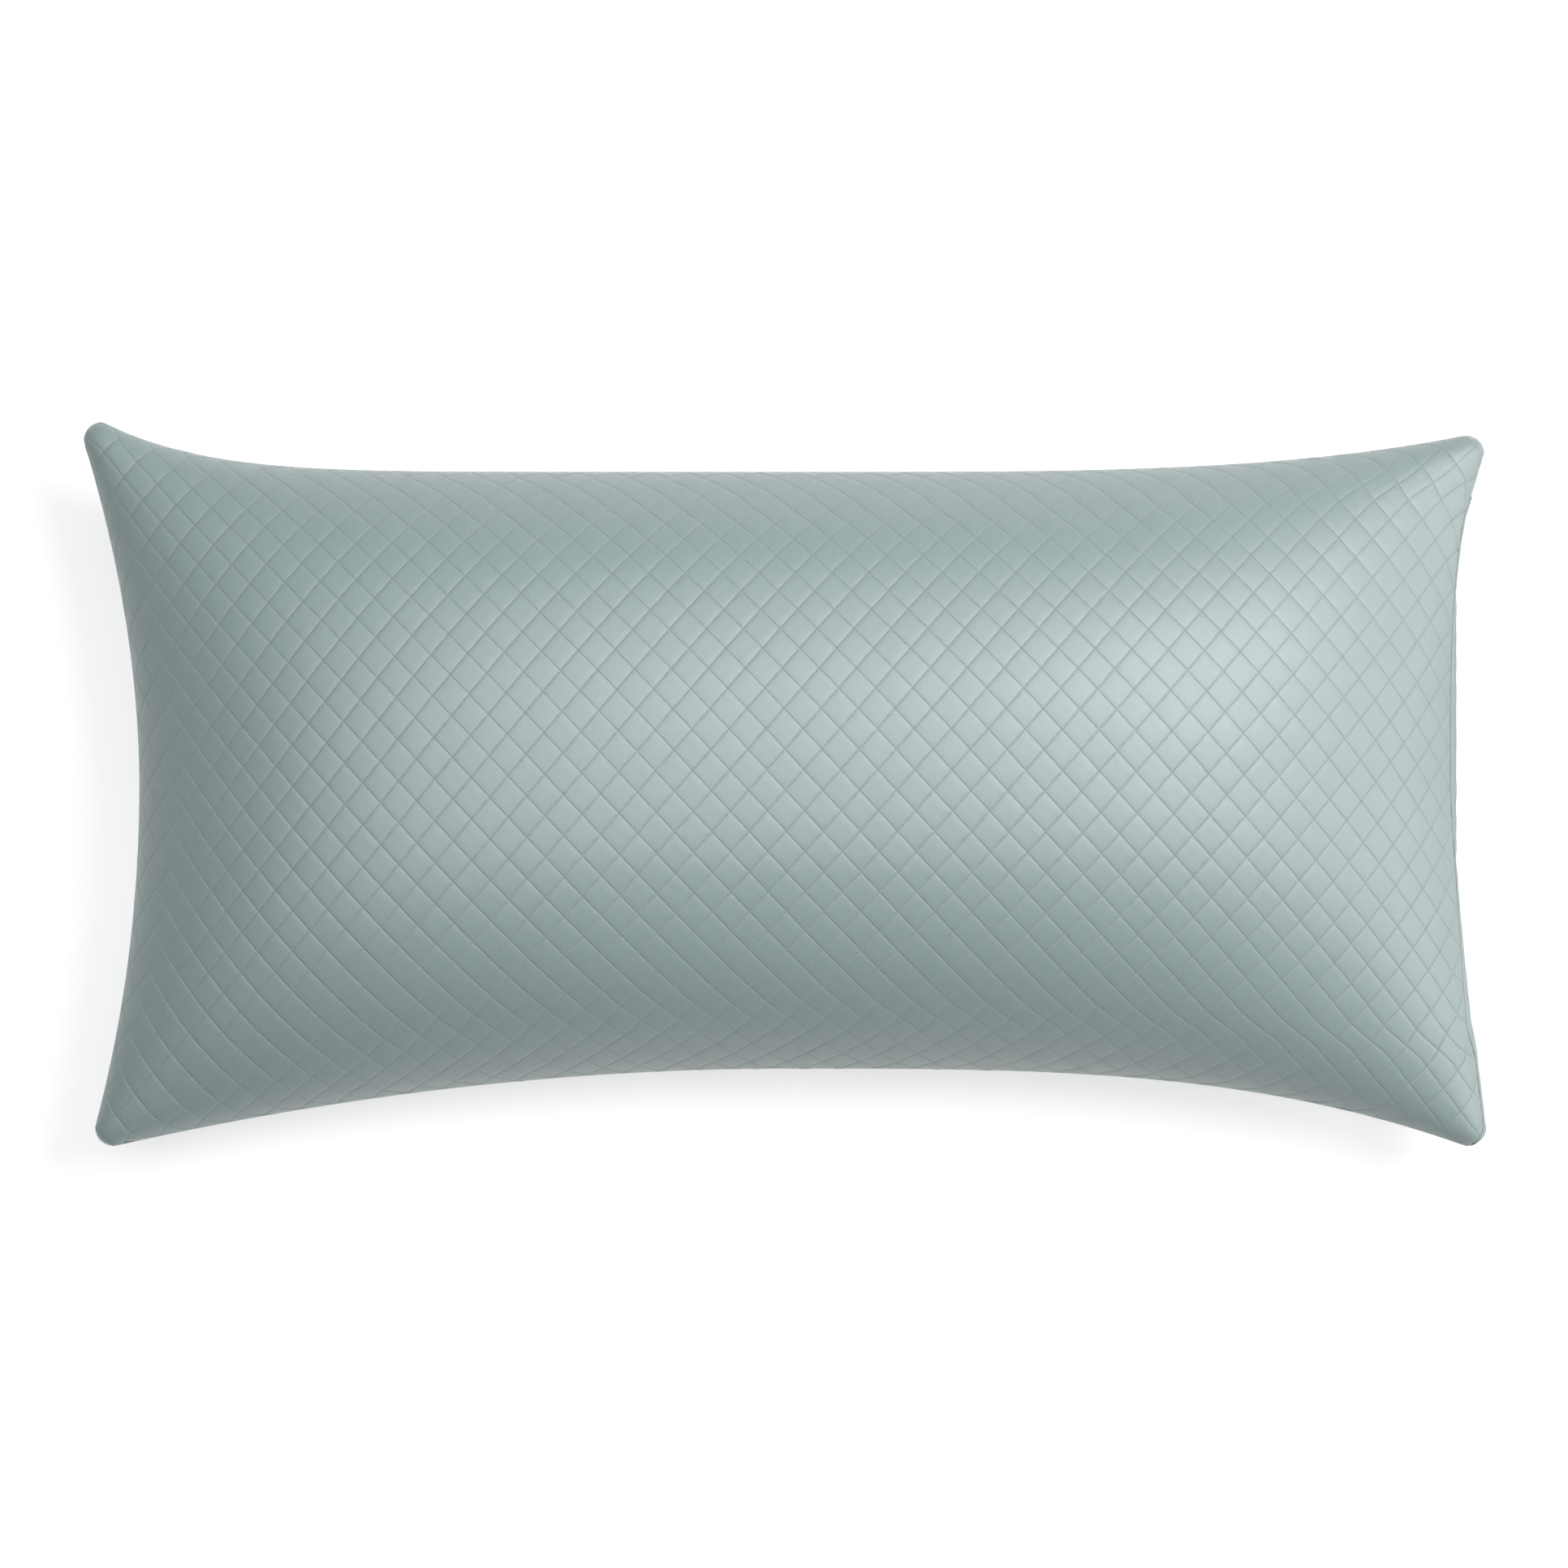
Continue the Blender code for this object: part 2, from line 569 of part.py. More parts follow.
def build_slider():
    """The slider's plates, flanges, thin post, lugs and pin, about the empty that slides."""
    steel = material("lacquered_zinc", (0.45, 0.50, 0.50), 0.35, 0.6)
    slide = bpy.data.objects.new("zip_slide_axis", None)
    slide.location = (CHAIN_FACE, SLIDER_REST, SEAM_HEIGHT)
    bpy.context.scene.collection.objects.link(slide)

    half = SLIDER_LENGTH / 2
    wide = SLIDER_HALF_WIDTH
    under = SLIDER_CLEARANCE
    top = PLATE_TOP - CHAIN_FACE
    tape_back = CHAIN_THICKNESS + LAYER_GAP + TAPE_THICKNESS
    back = -tape_back - SLIDER_CLEARANCE
    plate = box_mesh("zip_slider", (under, -half, -wide), (top, half, wide))
    slider = add_object("zip_slider", plate, steel, parent=slide)
    flange = wide - CHAIN_HALF_WIDTH - SLIDER_CLEARANCE
    pin_x, pin_y = PIN_X - CHAIN_FACE, -PIN_BACK
    lug_z = PULL_NECK_HALF_WIDTH + SLIDER_CLEARANCE
    lug_top = pin_x + 2 * PIN_RADIUS
    tools = []
    for sign in (1, -1):
        z = sorted((sign * wide, sign * (wide - flange)))
        tools.append(box_mesh("flange", (top - SLIDER_WALL - SLIDER_LIP, -half, z[0]),
                              (top - SLIDER_OVERLAP, half, z[1])))
        z = sorted((sign * lug_z, sign * (lug_z + LUG_THICKNESS)))
        tools.append(box_mesh("lug", (top - SLIDER_OVERLAP, pin_y - LUG_LENGTH / 2, z[0]),
                              (lug_top, pin_y + LUG_LENGTH / 2, z[1])))
    tools.append(box_mesh("back plate", (back - SLIDER_WALL, -half, -wide + flange),
                          (back, half, wide - flange)))
    post_y = -half + POST_LENGTH / 2 + SLIDER_WALL
    post_low, post_high = post_y - POST_LENGTH / 2, post_y + POST_LENGTH / 2
    tools.append(box_mesh("post", (back - SLIDER_OVERLAP, post_low, -POST_HALF_THICKNESS),
                          (under + SLIDER_OVERLAP, post_high, POST_HALF_THICKNESS)))
    tools.append(drum_mesh("pin", PIN_RADIUS, lug_z + LUG_THICKNESS / 2, (pin_x, pin_y, 0)))
    joined("zip_slider", slider, tools)

    hinge = bpy.data.objects.new("zip_pull_axis", None)
    hinge.location = (pin_x, pin_y, 0)
    hinge.parent = slide
    bpy.context.scene.collection.objects.link(hinge)
    build_pull(hinge, steel)


def build_pull(hinge, steel):
    """The pull tab, about its pin: an eye, a neck between the lugs and a rounded blade."""
    hole = PIN_RADIUS + PIN_CLEARANCE
    outer = hole + PULL_EYE_WALL
    eye = drum_mesh("zip_pull", outer, PULL_NECK_HALF_WIDTH)
    pull = add_object("zip_pull", eye, steel, parent=hinge)
    thick = PULL_THICKNESS / 2
    neck_end = LUG_LENGTH / 2 + outer
    neck = box_mesh("neck", (-thick, hole + PULL_EYE_WALL / 2, -PULL_NECK_HALF_WIDTH),
                    (thick, neck_end + thick, PULL_NECK_HALF_WIDTH))
    bm = bmesh.new()
    rounding = PULL_WIDTH / 2
    outline = [(neck_end, -rounding), (neck_end, rounding)]
    for i in range(TIP_STEPS + 1):
        turn = math.pi * i / TIP_STEPS
        outline.append((PULL_LENGTH - rounding + rounding * math.sin(turn), rounding * math.cos(turn)))
    loft(bm, [[Vector((x, y, z)) for y, z in outline] for x in (-thick, thick)])
    blade = mesh_from("blade", bm)
    joined("zip_pull", pull, [neck, blade])
    joined("zip_pull_bore", pull, [drum_mesh("bore", hole, 2 * PULL_NECK_HALF_WIDTH)], "DIFFERENCE")


def main():
    for old in list(bpy.data.objects):
        bpy.data.objects.remove(old)
    build_cover()
    build_seam()
    build_liner_and_fill()
    build_care_label()
    build_facings()
    build_tapes_and_chain()
    build_slider()


main()
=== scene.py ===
# %% [markdown]
# # A quilted bed pillow, built around its measured frame
# The frame holds the pillow as plain closed solids: three layers of cover on each side, a liner,
# the filling and a zip. This lesson keeps their height, places and joints, and gives each piece
# the shape and finish of the real one. The cloth's outline differs from the solids by a few
# millimetres at two ears and along the zip. The frame is loaded first, because nothing in it may
# move, and its box is kept so that the finished pillow can be measured against it.

# %% Load the frame
import math

import bmesh
import bpy
import numpy as np
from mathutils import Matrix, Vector


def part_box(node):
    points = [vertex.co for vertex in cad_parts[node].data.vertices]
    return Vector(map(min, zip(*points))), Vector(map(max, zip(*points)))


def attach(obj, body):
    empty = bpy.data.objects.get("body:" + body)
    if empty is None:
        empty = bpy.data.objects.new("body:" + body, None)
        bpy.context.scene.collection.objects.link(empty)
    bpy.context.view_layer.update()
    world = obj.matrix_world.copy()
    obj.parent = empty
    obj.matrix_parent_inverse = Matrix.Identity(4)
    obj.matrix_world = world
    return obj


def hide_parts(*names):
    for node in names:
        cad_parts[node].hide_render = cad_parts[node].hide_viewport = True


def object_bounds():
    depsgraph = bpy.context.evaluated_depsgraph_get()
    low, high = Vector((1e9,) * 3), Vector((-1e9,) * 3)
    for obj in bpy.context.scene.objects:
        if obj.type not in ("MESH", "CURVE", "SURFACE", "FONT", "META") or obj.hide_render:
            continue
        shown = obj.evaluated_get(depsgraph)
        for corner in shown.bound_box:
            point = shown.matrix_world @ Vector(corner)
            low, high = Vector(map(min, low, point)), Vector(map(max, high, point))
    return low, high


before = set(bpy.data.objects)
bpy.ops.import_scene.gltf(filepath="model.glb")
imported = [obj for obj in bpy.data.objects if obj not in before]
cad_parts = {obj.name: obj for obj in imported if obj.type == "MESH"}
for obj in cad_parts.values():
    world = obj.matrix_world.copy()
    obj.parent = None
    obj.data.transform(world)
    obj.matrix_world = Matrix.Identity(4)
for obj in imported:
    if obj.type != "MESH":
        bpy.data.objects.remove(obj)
cad_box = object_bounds()
print("frame box, metres:", [round(x, 4) for corner in cad_box for x in corner])

# %% [markdown]
# ## The filled form
# A pillow cover is two flat panels sewn together along their edges. Once it is stuffed, the
# middle rises into a crown, the sides draw in between the corners, and the corners stay behind as
# soft ears. It could be sculpted by hand, or simulated from two flat sheets. A formula is the
# better start, because the outline then stays at its measured size, and the cloth simulation
# further down only has to add the creases. Every point of a panel has two numbers, u along the
# pillow and v across it, which run from -1 to 1 between the seams.

# %% Sizes of the form
SEAM_HEIGHT = (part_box("front_face_fabric")[0].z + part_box("back_face_fabric")[1].z) / 2
CROWN = cad_box[1].z - SEAM_HEIGHT
HALF_LENGTH, HALF_WIDTH = 0.440, 0.2275
PULL_LEFT, PULL_RIGHT, PULL_NEAR, PULL_FAR = 0.035, 0.0200, 0.0487, 0.0314
FLARE_LEFT, FLARE_RIGHT = (2.05, 1.9), (1.35, 3.8)
FLARE_NEAR, FLARE_FAR = (1.95, 3.2), (7.0, 3.7)
# How far each ear stands past the middle of its side: two of the four are drawn in more.
FAR_EARS, LEFT_EARS = (0.0314, 0.0229), (0.0277, 0.035)
EAR_RADIUS = 0.012
EDGE_HALF_HEIGHT, EDGE_ROUNDING = 0.007, 0.008
CROWN_ALONG, CROWN_ACROSS = (4.0, 0.8), (2.5, 0.75)
UNDERSIDE_FULLNESS = 2.2
CHAIN_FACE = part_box("zip_teeth_front")[1].x
ZIP_LOW, ZIP_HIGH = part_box("zip_teeth_front")[0].y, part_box("zip_teeth_front")[1].y
ZIP_END, ZIP_TAPER = 0.0215, 0.020  # straight slot past the coil, with room for the pull
RIM_INSET = 0.0018
print(f"seam at {SEAM_HEIGHT:.4f}, crown {CROWN:.4f} above it, zip face at {CHAIN_FACE:.4f}")


# %% The form as a function of u and v
def smooth(x):
    x = np.clip(x, 0, 1)
    return x * x * (3 - 2 * x)


def flare(t, powers):
    """0 at mid-side and 1 at the ears, as late as the power of that end says."""
    return np.minimum(1, np.abs(t)) ** np.where(t < 0, powers[0], powers[1])


def zip_opening(y):
    """1 along the zip, falling to 0 where the two panels meet in the plain seam."""
    low, high = ZIP_LOW - ZIP_END, ZIP_HIGH + ZIP_END
    return smooth(1 - np.maximum(low - y, y - high) / ZIP_TAPER)


class Form:
    """One filled case: the cover itself, or the liner and filling inside it."""

    def __init__(self, inset=0.0, shrink=0.0, gap=0.0004, zipped=True):
        self.inset, self.shrink, self.gap, self.zipped = inset, shrink, gap, zipped

    def half_sizes(self, u, v):
        full_u = u / (1 - EAR_RADIUS / HALF_LENGTH)
        full_v = v / (1 - EAR_RADIUS / HALF_WIDTH)
        left = PULL_LEFT - np.where(v < 0, *LEFT_EARS) * flare(full_v, FLARE_LEFT)
        right = PULL_RIGHT * (1 - flare(full_v, FLARE_RIGHT))
        near = PULL_NEAR * (1 - flare(full_u, FLARE_NEAR))
        far = PULL_FAR - np.where(u < 0, *FAR_EARS) * flare(full_u, FLARE_FAR)
        along = HALF_LENGTH - self.inset - np.where(u < 0, left, right)
        return along, HALF_WIDTH - self.inset - np.where(v < 0, near, far)

    def point(self, u, v, top):
        if self.zipped:
            u = np.where(u > 0, u * (1 - RIM_INSET * zip_opening(v * HALF_WIDTH) / CHAIN_FACE), u)
        along, across = self.half_sizes(u, v)
        p = np.maximum(0, 1 - (1 - np.abs(u)) * along / EAR_RADIUS)
        q = np.maximum(0, 1 - (1 - np.abs(v)) * across / EAR_RADIUS)
        x = np.where(p > 0, along - EAR_RADIUS + EAR_RADIUS * p * np.sqrt(1 - q * q / 2),
                     np.abs(u) * along)
        y = np.where(q > 0, across - EAR_RADIUS + EAR_RADIUS * q * np.sqrt(1 - p * p / 2),
                     np.abs(v) * across)
        rim_u = np.clip(1 - (1 - np.abs(u)) * along / EDGE_ROUNDING, 0, 1)
        rim_v = np.clip(1 - (1 - np.abs(v)) * across / EDGE_ROUNDING, 0, 1)
        edge = np.sqrt((1 - rim_u ** 2) * (1 - rim_v ** 2))
        dome = np.maximum(0, 1 - np.abs(u) ** CROWN_ALONG[0]) ** CROWN_ALONG[1]
        dome = dome * np.maximum(0, 1 - np.abs(v) ** CROWN_ACROSS[0]) ** CROWN_ACROSS[1]
        full = CROWN if top > 0 else SEAM_HEIGHT
        if top < 0:
            dome = np.minimum(2, UNDERSIDE_FULLNESS * dome)
            dome = dome - dome * dome / 4
        rise = self.gap + (EDGE_HALF_HEIGHT - self.gap) * edge
        rise = rise + (full - self.shrink - EDGE_HALF_HEIGHT) * dome
        return np.stack([np.copysign(x, u), np.copysign(y, v), SEAM_HEIGHT + top * rise], -1)


cover_form = Form()
middle = cover_form.point(np.zeros(1), np.zeros(1), 1)[0]
print("crown of the cover:", middle.round(4))

# %% [markdown]
# ## Flat cloth on a round form
# Quilting is welded into the cloth while it is flat, so its lines are evenly spaced along the
# cloth, not along the pillow. Painting an even pattern onto the form from above would give
# stretched diamonds on the steep sides. Instead a grid of cloth points is slid over the form
# until neighbours are evenly far apart in both directions, as cloth threads are. After that,
# every point has a place on the flat cut, called s and t here, in metres.

# %% Spread an even grid over the form
COLUMNS, ROWS = 160, 84
SPREADING_ROUNDS = 12


def spread_line(points, u, v):
    """Slides the points of one row or column along it, until the steps are equally long."""
    run = np.concatenate([[0], np.cumsum(np.linalg.norm(np.diff(points, axis=0), axis=1))])
    even = np.linspace(0, run[-1], len(run))
    return np.interp(even, run, u), np.interp(even, run, v)


def spread_grid(form, top):
    u, v = np.meshgrid(np.linspace(-1, 1, COLUMNS + 1), np.linspace(-1, 1, ROWS + 1))
    for _ in range(SPREADING_ROUNDS):
        points = form.point(u, v, top)
        for j in range(ROWS + 1):
            u[j], v[j] = spread_line(points[j], u[j], v[j])
        points = form.point(u, v, top)
        for i in range(COLUMNS + 1):
            u[:, i], v[:, i] = spread_line(points[:, i], u[:, i], v[:, i])
    return u, v


grids = {top: spread_grid(cover_form, top) for top in (1, -1)}
start = {top: cover_form.point(*grids[top], top) for top in (1, -1)}
row_length = np.linalg.norm(np.diff(start[1][ROWS // 2], axis=0), axis=1).sum()
column_length = np.linalg.norm(np.diff(start[1][:, COLUMNS // 2], axis=0), axis=1).sum()
FLAT_LENGTH, FLAT_WIDTH = round(row_length, 3), round(column_length, 3)
print(f"flat cut of each panel: {FLAT_LENGTH:.3f} x {FLAT_WIDTH:.3f} m between the seams")

# %% [markdown]
# ## Creases from a cloth simulation
# The filled edge of a real panel is shorter than the flat cut, so the spare cloth buckles into
# small creases along the seams and behind the ears. These are hard to draw by hand and easy for
# a simulation, which knows the flat size of every small square. The closed case is blown up by
# air pressure with its seam held still. The result is only trusted for its creases: each point
# may move a few millimetres, and the slow swelling of the whole form is taken out again, so
# that the pillow keeps its measured height and still rests flat.

# %% Simulate the case
SIM_FRAMES = 20
PRESSURE = 4.0
CREASE_CAP, SLIDE_CAP, SWELL_CAP = 0.004, 0.0025, 0.001
BLUR_CELLS, SLIDE_BLUR_CELLS = 4.0, 2.5
CLOTH_SETTINGS = {"quality": 6, "mass": 0.25, "tension_stiffness": 20, "compression_stiffness": 20,
           "shear_stiffness": 6, "bending_stiffness": 0.8, "air_damping": 3,
           "use_pressure": True, "uniform_pressure_force": PRESSURE}


def blurred(field, cells):
    """A Gaussian blur of a grid of values, with its edges repeated."""
    reach = int(3 * cells)
    weights = np.exp(-0.5 * (np.arange(-reach, reach + 1) / cells) ** 2)
    weights /= weights.sum()
    for axis in (0, 1):
        pads = [(reach, reach) if k == axis else (0, 0) for k in range(field.ndim)]
        wide = np.pad(field, pads, mode="edge")
        field = sum(w * np.take(wide, np.arange(k, k + field.shape[axis]), axis)
                    for k, w in enumerate(weights))
    return field


def grid_faces(rows, columns):
    """Faces of a grid with this many rows and columns of points."""
    index = np.arange(rows * columns).reshape(rows, columns)
    quads = np.stack([index[:-1, :-1], index[:-1, 1:], index[1:, 1:], index[1:, :-1]], -1)
    return quads.reshape(-1, 4)


def rim_order(rows, columns):
    """The numbers of a grid's edge points, once round."""
    index = np.arange(rows * columns).reshape(rows, columns)
    return np.concatenate([index[0], index[1:, -1], index[-1, -2::-1], index[-2:0:-1, 0]])


def inflate(tops, flat_points):
    """Runs the cloth simulation of the closed case and returns where its points end."""
    count = (ROWS + 1) * (COLUMNS + 1)
    rim = rim_order(ROWS + 1, COLUMNS + 1)
    after = np.roll(rim, -1)
    sides = np.stack([rim, after, after + count, rim + count], 1)[:, ::-1]
    quads = grid_faces(ROWS + 1, COLUMNS + 1)
    faces = np.concatenate([quads, quads[:, ::-1] + count, sides])
    mesh = bpy.data.meshes.new("case_for_simulation")
    mesh.from_pydata(np.concatenate([t.reshape(-1, 3) for t in tops]).tolist(), [], faces.tolist())
    case = bpy.data.objects.new("case_for_simulation", mesh)
    bpy.context.scene.collection.objects.link(case)
    case.shape_key_add(name="filled")
    flat = case.shape_key_add(name="flat")
    flat.data.foreach_set("co", np.concatenate(flat_points).astype(np.float32).ravel())
    held = case.vertex_groups.new(name="seam")
    held.add([int(i) for i in np.concatenate([rim, rim + count])], 1.0, "REPLACE")
    cloth = case.modifiers.new("cloth", "CLOTH")
    cloth.settings.rest_shape_key = flat
    cloth.settings.vertex_group_mass = "seam"
    for key, value in CLOTH_SETTINGS.items():
        setattr(cloth.settings, key, value)
    cloth.settings.effector_weights.gravity = 0
    scene = bpy.context.scene
    for number in range(1, SIM_FRAMES + 1):
        scene.frame_set(number)
    done = case.evaluated_get(bpy.context.evaluated_depsgraph_get()).to_mesh()
    points = np.empty(count * 6, np.float32)
    done.vertices.foreach_get("co", points)
    scene.frame_set(1)
    bpy.data.objects.remove(case)
    bpy.data.meshes.remove(mesh)
    return points.reshape(2, ROWS + 1, COLUMNS + 1, 3).astype(float)


def capped(move, limit):
    size = np.linalg.norm(move, axis=-1, keepdims=True)
    return move * np.minimum(1, limit / np.maximum(size, 1e-9))


def creases():
    """How far each cloth point moves off the smooth form, for the front and the back."""
    s, t = np.meshgrid(np.linspace(-0.5, 0.5, COLUMNS + 1) * FLAT_LENGTH,
                       np.linspace(-0.5, 0.5, ROWS + 1) * FLAT_WIDTH)
    gap = start[1][0, 0, 2] - SEAM_HEIGHT
    flat_points = [np.stack([s, t, np.full_like(s, SEAM_HEIGHT + k * gap)], -1).reshape(-1, 3)
                   for k in (1, -1)]
    ends = inflate([start[1], start[-1]], flat_points)
    moves = {}
    for top, end in zip((1, -1), ends):
        across = np.gradient(start[top], axis=0)
        along = np.gradient(start[top], axis=1)
        normal = np.cross(along, across) * top
        normal /= np.maximum(np.linalg.norm(normal, axis=-1, keepdims=True), 1e-12)
        move = end - start[top]
        rise = (move * normal).sum(-1)
        slide = blurred(move - rise[..., None] * normal, SLIDE_BLUR_CELLS)
        swell = blurred(rise, BLUR_CELLS)
        found = np.abs(rise).max(), np.abs(rise - swell).max(), np.linalg.norm(slide, axis=-1).max()
        print(f"side {top}: moved, creased and slid up to", [round(1000 * x, 1) for x in found], "mm")
        rise = np.clip(rise - swell, -CREASE_CAP, CREASE_CAP) + np.clip(swell, -SWELL_CAP, SWELL_CAP)
        moves[top] = rise[..., None] * normal + capped(slide, SLIDE_CAP)
    return moves


crease_moves = creases()
print("creases ready")

# %% [markdown]
# ## Reading the cloth at any point
# The grid is too coarse for quilting, so the finer pieces read it in between its points. A plain
# straight-line reading would show the grid as facets. Catmull-Rom weights, which look at four
# neighbours each way, keep it smooth. One class answers the only question that the layers ask:
# where is the cloth point (s, t), this far outside or inside the outer surface?


# %% A readable shell for each side
def with_border(grid):
    """The grid with one more row and column on each side, carried on in a straight line."""
    grid = np.concatenate([2 * grid[:1] - grid[1:2], grid, 2 * grid[-1:] - grid[-2:-1]], 0)
    return np.concatenate([2 * grid[:, :1] - grid[:, 1:2], grid,
                           2 * grid[:, -1:] - grid[:, -2:-1]], 1)


def catmull_rom(f):
    return np.stack([((2 - f) * f - 1) * f, (3 * f - 5) * f * f + 2,
                     ((4 - 3 * f) * f + 1) * f, (f - 1) * f * f]) / 2


class Shell:
    """The outer surface of one side of the cover, read by flat cloth coordinates."""

    STEP, LEVEL_REACH = 0.0004, 0.0025

    def __init__(self, form, top, uv, moves):
        self.form, self.top = form, top
        self.grid = with_border(np.concatenate([np.stack(uv, -1), moves], -1))

    def place(self, s, t):
        x = np.clip((s / FLAT_LENGTH + 0.5) * COLUMNS, 0, COLUMNS)
        y = np.clip((t / FLAT_WIDTH + 0.5) * ROWS, 0, ROWS)
        i = np.minimum(x.astype(int), COLUMNS - 1)
        j = np.minimum(y.astype(int), ROWS - 1)
        wide, tall = catmull_rom(x - i), catmull_rom(y - j)
        read = sum((tall[b] * wide[a])[:, None] * self.grid[j + b, i + a]
                   for a in range(4) for b in range(4))
        u, v = np.clip(read[:, 0], -1, 1), np.clip(read[:, 1], -1, 1)
        return self.form.point(u, v, self.top) + read[:, 2:]

    def rim_distance(self, s, t):
        return np.minimum(FLAT_LENGTH / 2 - np.abs(s), FLAT_WIDTH / 2 - np.abs(t))

    def outward(self, s, t):
        """The outward direction; level at the seam, so that layers end side by side there."""
        along = self.place(s + self.STEP, t) - self.place(s - self.STEP, t)
        across = self.place(s, t + self.STEP) - self.place(s, t - self.STEP)
        normal = np.cross(along, across) * self.top
        normal /= np.maximum(np.linalg.norm(normal, axis=1, keepdims=True), 1e-12)
        level = smooth(self.rim_distance(s, t) / self.LEVEL_REACH)
        normal[:, 2] *= level
        size = np.linalg.norm(normal, axis=1, keepdims=True)
        outwards = self.place(s, t) * (1, 1, 0)
        outwards /= np.linalg.norm(outwards, axis=1, keepdims=True)
        return np.where(size > 0.2, normal / np.maximum(size, 1e-9), outwards)

    def at(self, s, t, height):
        """Points this high above the outer surface, none of them under the resting surface."""
        height = np.asarray(height)
        found = self.place(s, t) + self.outward(s, t) * height.reshape(-1, 1)
        found[:, 2] = np.maximum(found[:, 2], np.maximum(0, -height))
        return found


shells = {top: Shell(cover_form, top, grids[top], crease_moves[top]) for top in (1, -1)}
probe = shells[1].place(np.zeros(1), np.zeros(1))[0]
print("the middle of the front cloth lies at", probe.round(4))

# %% [markdown]
# ## The quilting pattern
# The diamonds are made by two families of straight weld lines on the flat cloth. The lines press
# the cover's three layers together, and between them the wadding pushes the face fabric up into
# low puffs. The height of the cloth could be a bump texture, but then the outline and the layers
# underneath would stay smooth. Here it is a function that moves real points, and the mesh is
# laid out along the weld lines, so that a groove always has points at its bottom and its sides.

# %% Height of the quilting
PITCH_ALONG, PITCH_ACROSS = 0.0226, 0.0252
PUFF_HEIGHT, GROOVE_DEPTH, GROOVE_WIDTH = 0.00018, 0.00030, 0.0008
LINE_SPACING = PITCH_ALONG * PITCH_ACROSS / math.hypot(PITCH_ALONG, PITCH_ACROSS)
CROSSING_PLACE = (0.0008, -0.0040)
BAND_START, BAND_FULL, BAND_WIDTH = -0.040, -0.175, 0.0058
PUCKER_HEIGHT, PUCKER_REACH = 0.0005, 0.010
RIM_FADE, BAND_FADE = 0.004, 0.003


def nearest_flat(shell, x, y):
    """The cloth point that lies over this place."""
    s, t = np.meshgrid(np.linspace(-0.05, 0.05, 201), np.linspace(-0.05, 0.05, 201))
    points = shell.place(s.ravel(), t.ravel())
    best = np.hypot(points[:, 0] - x, points[:, 1] - y).argmin()
    return s.ravel()[best], t.ravel()[best]


anchor = nearest_flat(shells[1], *CROSSING_PLACE)


def pattern_place(s, t):
    """Cloth coordinates measured from a crossing of the weld lines, along the pattern."""
    return s - anchor[0], t - anchor[1]


def lattice(s, t):
    """Which weld lines a point lies between: whole numbers are on the lines."""
    x, y = pattern_place(s, t)
    return x / PITCH_ALONG + y / PITCH_ACROSS, x / PITCH_ALONG - y / PITCH_ACROSS


def band_width(t):
    """How much of the zip's plain band lies on the panel's edge, and hides its quilting."""
    return 0.0004 + BAND_WIDTH * smooth((BAND_START - t) / (BAND_START - BAND_FULL))


def ripple(x, seed):
    """A smooth irregular wave along a seam, between about -1 and 1."""
    random = np.random.default_rng(seed)
    lengths = random.uniform(0.009, 0.034, 7)
    phases = random.uniform(0, 2 * math.pi, 7)
    return sum(np.sin(2 * math.pi * x / w + p) for w, p in zip(lengths, phases)) / 3.2


def puckers(s, t):
    """Small gathers that run in from the seams, where the thread holds the spare cloth."""
    from_end, from_side = FLAT_LENGTH / 2 - np.abs(s), FLAT_WIDTH / 2 - np.abs(t)
    wave = (ripple(t, 3) * np.exp(-from_end / PUCKER_REACH)
            + ripple(s, 5) * np.exp(-from_side / PUCKER_REACH))
    return PUCKER_HEIGHT * wave


def quilt_height(s, t):
    across_a, across_b = (LINE_SPACING * (k - np.round(k)) for k in lattice(s, t))
    grooves = np.exp(-(across_a / GROOVE_WIDTH) ** 2) + np.exp(-(across_b / GROOVE_WIDTH) ** 2)
    puff = (1 - (2 * across_a / LINE_SPACING) ** 2) * (1 - (2 * across_b / LINE_SPACING) ** 2)
    height = PUFF_HEIGHT * puff ** 0.6 - GROOVE_DEPTH * np.minimum(grooves, 1.15) + puckers(s, t)
    clear_of_band = FLAT_LENGTH / 2 - s - band_width(t)
    from_rim = shells[1].rim_distance(s, t)
    return height * smooth(from_rim / RIM_FADE) * smooth(clear_of_band / BAND_FADE)


print(f"weld lines {LINE_SPACING * 1000:.1f} mm apart, {FLAT_LENGTH / PITCH_ALONG:.1f} diamonds "
      f"along and {FLAT_WIDTH / PITCH_ACROSS:.1f} across")

# %% [markdown]
# ## A mesh laid along the weld lines
# The points of each panel are placed in the pattern's own slanted directions, close together at
# the weld lines and wider apart over the puffs. That net is cut to the rectangle of the flat
# panel, and only then carried onto the form. Each layer gets an outer and an inner skin and an
# edge between them, so that it is a closed sheet of real thickness.

# %% Flat net of the pattern
CELL_STOPS = {7: (0, 0.038, 0.10, 0.34, 0.66, 0.90, 0.962), 3: (0, 0.2, 0.8), 2: (0, 0.5)}


